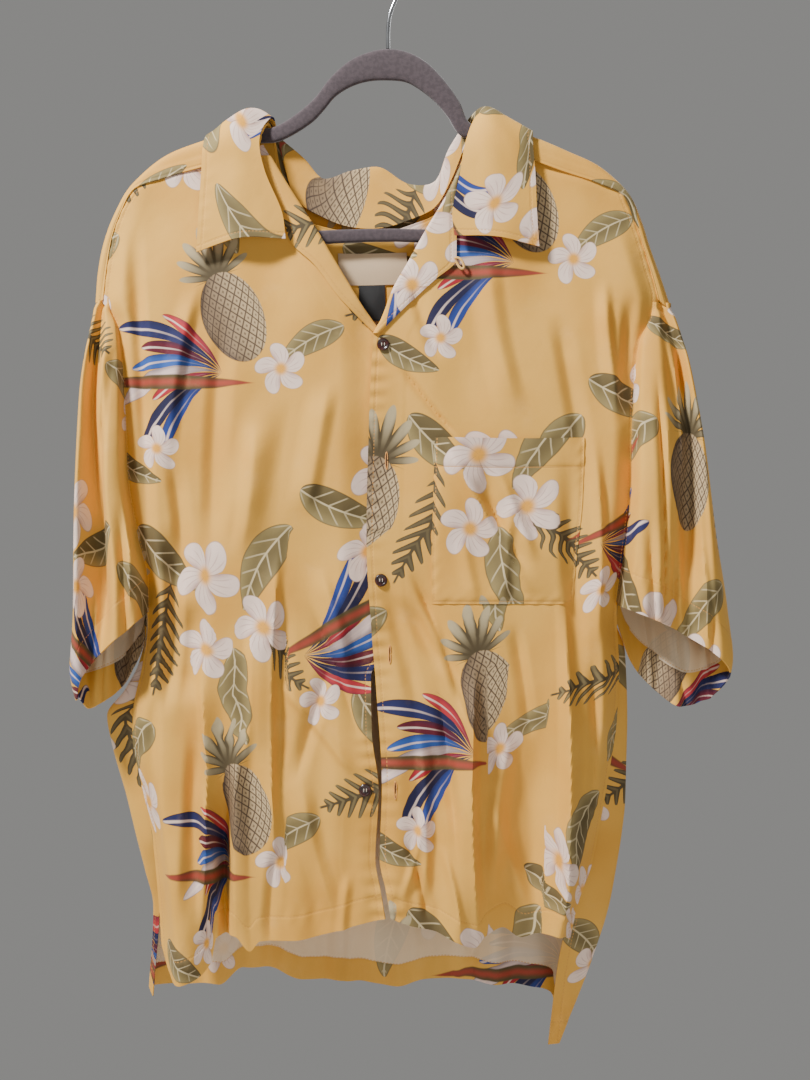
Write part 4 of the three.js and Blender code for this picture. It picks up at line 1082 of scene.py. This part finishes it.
def lapel_piece(name, front, forward, outer_rows, columns=36, rows=90):
    """The facing turned out along the roll line, which rounds over at the fold."""
    u, v = grid(columns, rows)
    drop = mix(outer_rows["drop"][0], outer_rows["drop"][-1], v)
    across = smooth(u * 1.02) * 0.25 + u * 0.75
    x = mix(front.inner(drop), curve(outer_rows, "drop", "x")(drop), across)
    roll = smooth(1 - u / 0.1)
    x = x + front.inward * 1.1 * roll * (1 - roll) * 4
    lift = mix(LAYER, 0.2, roll) + np.sin(u * PI) * 1.0 + ripple(x * 1.8, drop * 1.6) * 0.35 * smooth(u * 4)
    points = lay(x, forward(x, drop) + lift, drop)
    from_edge = np.abs(x - curve(outer_rows, "drop", "x")(drop))
    edges = np.stack([from_edge - 5, np.full_like(u, FAR), np.full_like(u, FAR)], axis=-1)
    flat = np.stack([points[..., 0], -points[..., 2]], axis=-1) + SHIFT[name]
    return shell("cloth_" + name, name, points, flat, [PRINT], outside=front.inward, thick=1.0, edges=edges)


def sleeve_piece(name, rows_of_sleeve, top_rows, hem_rows, front, back_rows, creases, columns=132, rows=120):
    u, v = grid(columns, rows)
    hem = curve(hem_rows, "across", "drop")(u)
    top = curve(top_rows, "across", "drop")(u) - 9
    drop = mix(top, hem, v)
    edge, front_most, back_most, valley = (
        curve(rows_of_sleeve, "drop", column)(drop) for column in ("edge", "front", "back", "valley"))
    away = np.sign(edge[0, 0])
    out_share = curve(SLEEVE_ROUND, "across", "out")
    depth = curve(SLEEVE_ROUND, "across", "depth")(u)
    seam_x = mix(front.outer(drop), curve(back_rows, "drop", "seam_x")(drop), u) - away * 4
    plain_valley = mix(seam_x, edge, out_share(VALLEY_ACROSS))
    shift = (valley - plain_valley) * np.maximum(0, 1 - np.abs(u - VALLEY_ACROSS) / 0.18)
    tucked = smooth(1 - (drop - top - 4) / 8)
    x = mix(seam_x, edge, out_share(u)) + shift - away * 2.6 * tucked * smooth(np.minimum(u, 1 - u) * 8)
    open_cloth = mix(back_most, front_most, (1 + depth) / 2) * (1 - 0.22 * tucked)
    at_seam = np.where(u < 0.5, front.edge(drop) - 1.4, curve(back_rows, "drop", "seam_forward")(drop))
    inner = smooth(np.minimum(u, 1 - u) / SEAM_ACROSS)
    faces_front = np.where(u < 0.5, 1.0, -1.0)
    relief = faces_front * (1.9 * creases_at(creases, x, drop) + ripple(x * 1.4, drop, 2.0))
    out = mix(at_seam, open_cloth, inner) + relief * inner * smooth((0.5 - np.abs(u - 0.5)) * 9)
    from_hem = hem - drop
    out += faces_front * pucker(from_hem - SLEEVE_BAND, u * 300, reach=12, high=0.5)
    points = lay(x, out, drop)
    turned = from_hem < SLEEVE_BAND
    edges = np.full(points.shape, FAR)
    edges[..., 0] = np.where(u < 0.5, arc(points, 1, 0), FAR) - 5
    edges[..., 2] = from_hem - SLEEVE_BAND
    return shell("cloth_" + name, name, points, wrapped_map(points, name, columns // 2, 0),
                 [PRINT, WRONG_SIDE], outside=-away, thick=CLOTH + 0.5 * turned, edges=edges, turned=turned)


SLEEVE_RIGHT_CREASES = table("top foot x_top x_foot right left sharp height", [
    (330, 480, -262, -271, 8, 6, 0.6, 3.2), (380, 640, -253, -247, 6, 8, 0.8, -4.2),
    (430, 680, -274, -268, 6, 9, 0.6, 3.2), (500, 720, -240, -233, 8, 10, 0.5, -4.0),
    (560, 730, -262, -256, 7, 8, 0.6, 3.6), (440, 620, -234, -227, 8, 6, 0.6, 3.0),
    (350, 450, -250, -256, 7, 9, 0.5, 2.6),
])
SLEEVE_LEFT_CREASES = table("top foot x_top x_foot right left sharp height", [
    (336, 500, 250, 263, 6, 9, 0.6, 3.4), (380, 640, 240, 245, 8, 6, 0.8, -4.2),
    (430, 660, 276, 287, 9, 6, 0.6, 3.2), (500, 720, 232, 241, 9, 9, 0.5, -3.6),
    (540, 730, 262, 273, 8, 9, 0.6, 3.4), (470, 640, 253, 257, 6, 8, 0.6, 2.6),
    (590, 720, 289, 293, 7, 7, 0.5, -3.0), (345, 420, 262, 268, 7, 7, 0.7, -2.6),
])


POCKET_CREASES = table("top foot x_top x_foot right left sharp height", [
    (440, 600, 44, 136, 12, 34, 0.7, 8.0), (462, 580, 84, 118, 16, 10, 0.6, -4.0),
    (500, 610, 112, 104, 14, 9, 0.6, 5.0), (530, 610, 66, 84, 12, 9, 0.5, 3.0),
])


def pocket_piece(columns=60, rows=70):
    u, v = grid(columns, rows)
    top = POCKET["top"] + 4 * (1 - u) * u
    drop = mix(top, POCKET["foot"], v)
    x = LEFT_FRONT.across(mix(POCKET["inner"], POCKET["outer"], u), drop)
    gape = POCKET["gape"] * np.maximum(0, 1 - u * 1.6) * np.sin(np.minimum(1, u * 5) * PI / 2) * (1 - v) ** 2
    sewn = np.minimum(np.minimum(u, 1 - u) * 130, (1 - v) * 149)
    lift = mix(0.7, POCKET["lift"], smooth(sewn / 6)) + 0.6 * smooth((26 - (drop - top)) / 2)
    crease = np.maximum(creases_at(POCKET_CREASES, x, drop), -1.2) * smooth(sewn / 16)
    out = left_forward(x, drop) + lift + gape + crease + pucker(sewn - 2, x + drop, reach=8, high=0.35)
    points = lay(x, out, drop)
    edges = np.stack([sewn - 2, drop - top - 26, np.full_like(u, FAR)], axis=-1)
    return shell("cloth_pocket", "pocket", points, hanging_map(points, "pocket"), [PRINT, WRONG_SIDE],
                 outside=-1, thick=0.9, edges=edges)


front_right = front_piece("front_right", RIGHT_FRONT, right_forward)
front_left = front_piece("front_left", LEFT_FRONT, left_forward)
back = back_piece()
yoke = yoke_piece()
collar = collar_piece()
lapel_right = lapel_piece("lapel_right", RIGHT_FRONT, right_forward, LAPEL_RIGHT)
lapel_left = lapel_piece("lapel_left", LEFT_FRONT, left_forward, LAPEL_LEFT)
sleeve_right = sleeve_piece("sleeve_right", SLEEVE_RIGHT, SLEEVE_RIGHT_TOP, SLEEVE_RIGHT_HEM, RIGHT_FRONT,
                            BACK_RIGHT, SLEEVE_RIGHT_CREASES)
sleeve_left = sleeve_piece("sleeve_left", SLEEVE_LEFT, SLEEVE_LEFT_TOP, SLEEVE_LEFT_HEM, LEFT_FRONT,
                           BACK_LEFT, SLEEVE_LEFT_CREASES)
pocket = pocket_piece()


# Buttons, labels, loop and hanger

def frame_on(surface, x, drop):
    """The place and the facing of the cloth under a button."""
    step = 3
    slope_x = (surface(x + step, drop) - surface(x - step, drop)) / (2 * step)
    slope_z = (surface(x, drop - step) - surface(x, drop + step)) / (2 * step)
    facing = Vector((-float(slope_x), -1, -float(slope_z))).normalized()
    return Vector(lay(x, float(surface(x, drop)), drop)), facing


def revolve(name, profile, sides):
    """A closed solid turned about Z from a profile of radii and heights that starts and ends on it."""
    verts = [(0, 0, profile[0][1])]
    for radius, height in profile[1:-1]:
        for k in range(sides):
            angle = 2 * PI * k / sides
            verts.append((radius * math.cos(angle), radius * math.sin(angle), height))
    verts.append((0, 0, profile[-1][1]))
    rings = len(profile) - 2
    faces = []
    for k in range(sides):
        n = (k + 1) % sides
        faces.append((0, 1 + n, 1 + k))
        for j in range(rings - 1):
            a = 1 + j * sides
            faces.append((a + k, a + n, a + sides + n, a + sides + k))
        last = 1 + (rings - 1) * sides
        faces.append((last + k, last + n, len(verts) - 1))
    return mesh_from(name, verts, faces, sharp=40)


BUTTON_PROFILE = [
    (0, -1.0), (4.4, -1.0), (5.3, -0.6), (5.7, 0), (5.55, 0.55), (5.0, 0.95), (4.3, 0.9), (3.6, 0.45),
    (3.2, 0.2), (0, 0.2),
]


def button_pieces():
    for name, x, drop in BUTTONS:
        surface = left_forward if name in ("button_1", "button_3") else right_forward
        base, facing = frame_on(surface, x, drop)
        mesh = revolve(name + " shell", BUTTON_PROFILE, 48)
        mesh.materials.append(SHELL)
        obj = new_object("sewn_" + name, mesh, name)
        rise = CLOTH / 2 + SEAM_GAP * 2 + BUTTON_THICKNESS / 2
        obj.location = (base + facing * rise) * MM
        obj.rotation_mode = "QUATERNION"
        obj.rotation_quaternion = facing.to_track_quat("Z", "Y")
        for k, side in enumerate((-1.25, 1.25)):
            loop = rope(f"{name}_thread_{k + 1}", None, [
                (side, -1.25, -0.4), (side, -1.2, 0.3), (side, -0.6, 0.62), (side, 0.6, 0.62), (side, 1.2, 0.3),
                (side, 1.25, -0.4),
            ], 0.34, THREAD, sides=8)
            loop.parent = obj


def buttonhole_pieces():
    """The worked slits in the left front's edge, each a ring of thread round a dark rope of painted shade that
    stands for the opening.
    """
    for number, (x, drop) in enumerate([(-1, 467), (2, 640), (7, 760)]):
        angles = np.linspace(0, 2 * PI, 49)
        across = x + 1.0 * np.cos(angles)
        down = drop + 6.6 * np.sin(angles) + 1.2 * np.sign(np.sin(angles))
        path = lay(across, left_forward(across, down) + 0.95, down)
        rope(f"buttonhole_{number + 1}", None, path, 0.42, HOLE_THREAD, sides=8)
        # Painted shade: a dark rope down the middle stands for the shaded opening of the cut.
        down = np.linspace(drop - 6.5, drop + 6.5, 12)
        across = np.full_like(down, x)
        slit = lay(across, left_forward(across, down) + 0.62, down)
        rope(f"buttonhole_slit_{number + 1}", None, slit, 0.4, SLIT_SHADE, sides=6)


def tape(name, node, left, right, top, foot, forward, material, slot, bulge):
    """A flat woven tape sewn along its edges, which stands off the yoke a little in its middle."""
    u, v = grid(36, 24)
    x = mix(left, right, u) + 0.4 * np.sin(v * PI)
    drop = mix(top, foot, v) + 0.5 * np.sin(u * PI * 1.3 + 0.4)
    out = forward + bulge * np.sin(u * PI) * np.sin(v * PI) + 0.12 * np.sin(u * 41) * smooth(1 - v * 5)
    points = lay(x, out, drop)
    return shell(name, node, points, np.stack([x, drop], axis=-1), [material], outside=-1, thick=0.7, slot=slot)


def loop_piece():
    base = lay(61, float(left_forward(61, 286)) + LAYER + 1.9, 284)
    steps = [(-1, 0, 0), (2, 0.6, 0.4), (5, 1.2, -1.4), (7, 1.5, -5), (7.6, 1.3, -8.4), (6, 1, -9.6),
             (3.6, 0.6, -8), (1.6, 0.2, -4.6), (0, 0, -2)]
    path = np.array([base + np.array([x, -out, z]) for x, out, z in steps])
    return rope("cloth_button_loop", "button_loop", spine(path, np.linspace(0, 1, 40)), 1.15, LOOP_CLOTH,
                sides=12)


def hanger_piece(steps=240):
    ridge = {"at": YOKE_RIDGE[:, 0], "drop": YOKE_RIDGE[:, 1]}

    def arm(x):
        drop = float(through(ridge["at"], ridge["drop"], x)) + HANGER_CLEARANCE
        return (x, drop, x - np.sign(x) * ARM_DEPTH * 0.35, drop + ARM_DEPTH)

    inset = BAR["inset"]
    right, left, tip = ARM_TIP["right"], ARM_TIP["left"], ARM_TIP["drop"]
    stations = [arm(-x) for x in reversed(ARM_XS)] + list(ARCH) + [arm(x) for x in ARM_XS] + [
        (left, tip, left - inset, tip), (left - inset / 2, BAR["foot"], left - inset - 4, BAR["top"]),
        (0, BAR["foot"], 0, BAR["top"]),
        (right + inset / 2, BAR["foot"], right + inset + 4, BAR["top"]), (right, tip, right + inset, tip),
    ]
    ring = np.array(stations)
    ring = np.concatenate((ring[-2:], ring, ring[:3]))
    shares = (2 + np.arange(steps) * len(stations) / steps) / (len(ring) - 1)
    outer = spine(np.stack([ring[:, 0], ring[:, 0] * 0, ring[:, 1]], axis=-1), shares)
    inner = spine(np.stack([ring[:, 2], ring[:, 2] * 0, ring[:, 3]], axis=-1), shares)
    sides = 20
    angles = np.arange(sides) * 2 * PI / sides
    share = 0.5 - 0.5 * np.sign(np.cos(angles)) * np.abs(np.cos(angles)) ** 0.7
    depth = -HANGER_THICKNESS / 2 * np.sign(np.sin(angles)) * np.abs(np.sin(angles)) ** 0.6
    verts = []
    for o, i in zip(outer, inner):
        verts += [(mix(o[0], i[0], s), y, -mix(o[2], i[2], s)) for s, y in zip(share, depth)]
    faces = []
    for j in range(steps):
        n = (j + 1) % steps
        for k in range(sides):
            m = (k + 1) % sides
            faces.append((j * sides + k, n * sides + k, n * sides + m, j * sides + m))
    mesh = mesh_from("hanger", verts, faces)
    mesh.materials.append(FLOCK)
    return new_object("flocked_hanger", mesh, "hanger")


def hook_piece():
    centre = HOOK_RADIUS - HOOK_WIRE / 2
    points = [lay(0, 0, 90), lay(0, 0, 74), lay(2, 0, 58)]
    for degrees in (-50, -20, 10, 40, 65, 90, 115, 140, 170, 200):
        angle = math.radians(degrees)
        points.append(lay(HOOK_RADIUS * math.cos(angle), 0, centre - HOOK_RADIUS * math.sin(angle)))
    path = spine(np.array(points), np.linspace(0, 1, 130))
    return rope("chrome_hook", "hook", path, HOOK_WIRE / 2, CHROME, sides=24)


button_pieces()
buttonhole_pieces()
neck_label = tape("woven_neck_label", "neck_label", -46, 17, 275, 304, -8.3, LABEL, "label", 0.9)
size_tab = tape("satin_size_tab", "size_tab", -27, -3, 303.4, 337, -8.5, TAB, "tab", 1.4)
loop_piece()
hanger_piece()
hook_piece()


# Floor, light and camera

def pale_floor():
    size = 3.0
    far = 0.85
    mesh = bpy.data.meshes.new("floor")
    corners = [(-size, -size, 0), (size, -size, 0), (size, far, 0), (-size, far, 0)]
    mesh.from_pydata(corners, [], [(0, 1, 2, 3)])
    mesh.materials.append(plain_material("pale floor", (214, 210, 204), 0.8))
    floor = bpy.data.objects.new("floor", mesh)
    floor.location.z = -1.35
    bpy.context.scene.collection.objects.link(floor)
    return floor


def soft_light(name, at, towards, width, power):
    light = bpy.data.lights.new(name, "AREA")
    light.size = width
    light.energy = power
    obj = bpy.data.objects.new(name, light)
    obj.location = at
    obj.rotation_euler = (Vector(towards) - Vector(at)).to_track_quat("-Z", "Y").to_euler()
    bpy.context.scene.collection.objects.link(obj)
    return obj


MIDDLE = (0.0, 0.0, -0.5)
lights = [
    soft_light("key", (-1.2, -0.9, 1.15), MIDDLE, 0.3, 108),
    soft_light("fill", (0.7, -1.9, -0.75), MIDDLE, 1.2, 6),
    soft_light("rim", (0.7, 1.5, 0.7), MIDDLE, 1.2, 16),
]
world = bpy.data.worlds.new("pale studio")
world.use_nodes = True
world.node_tree.nodes["Background"].inputs["Color"].default_value = linear((236, 235, 232))
world.node_tree.nodes["Background"].inputs["Strength"].default_value = 0.3
bpy.context.scene.world = world

pale_floor()

lens = bpy.data.cameras.new("photo")
lens.sensor_width = 36
lens.lens = 36 * 1.4 / 0.985
camera = bpy.data.objects.new("photo", lens)
camera.location = (0.0155, -1.4, -0.538)
camera.rotation_euler = (PI / 2, 0, 0)
bpy.context.scene.collection.objects.link(camera)
bpy.context.scene.camera = camera
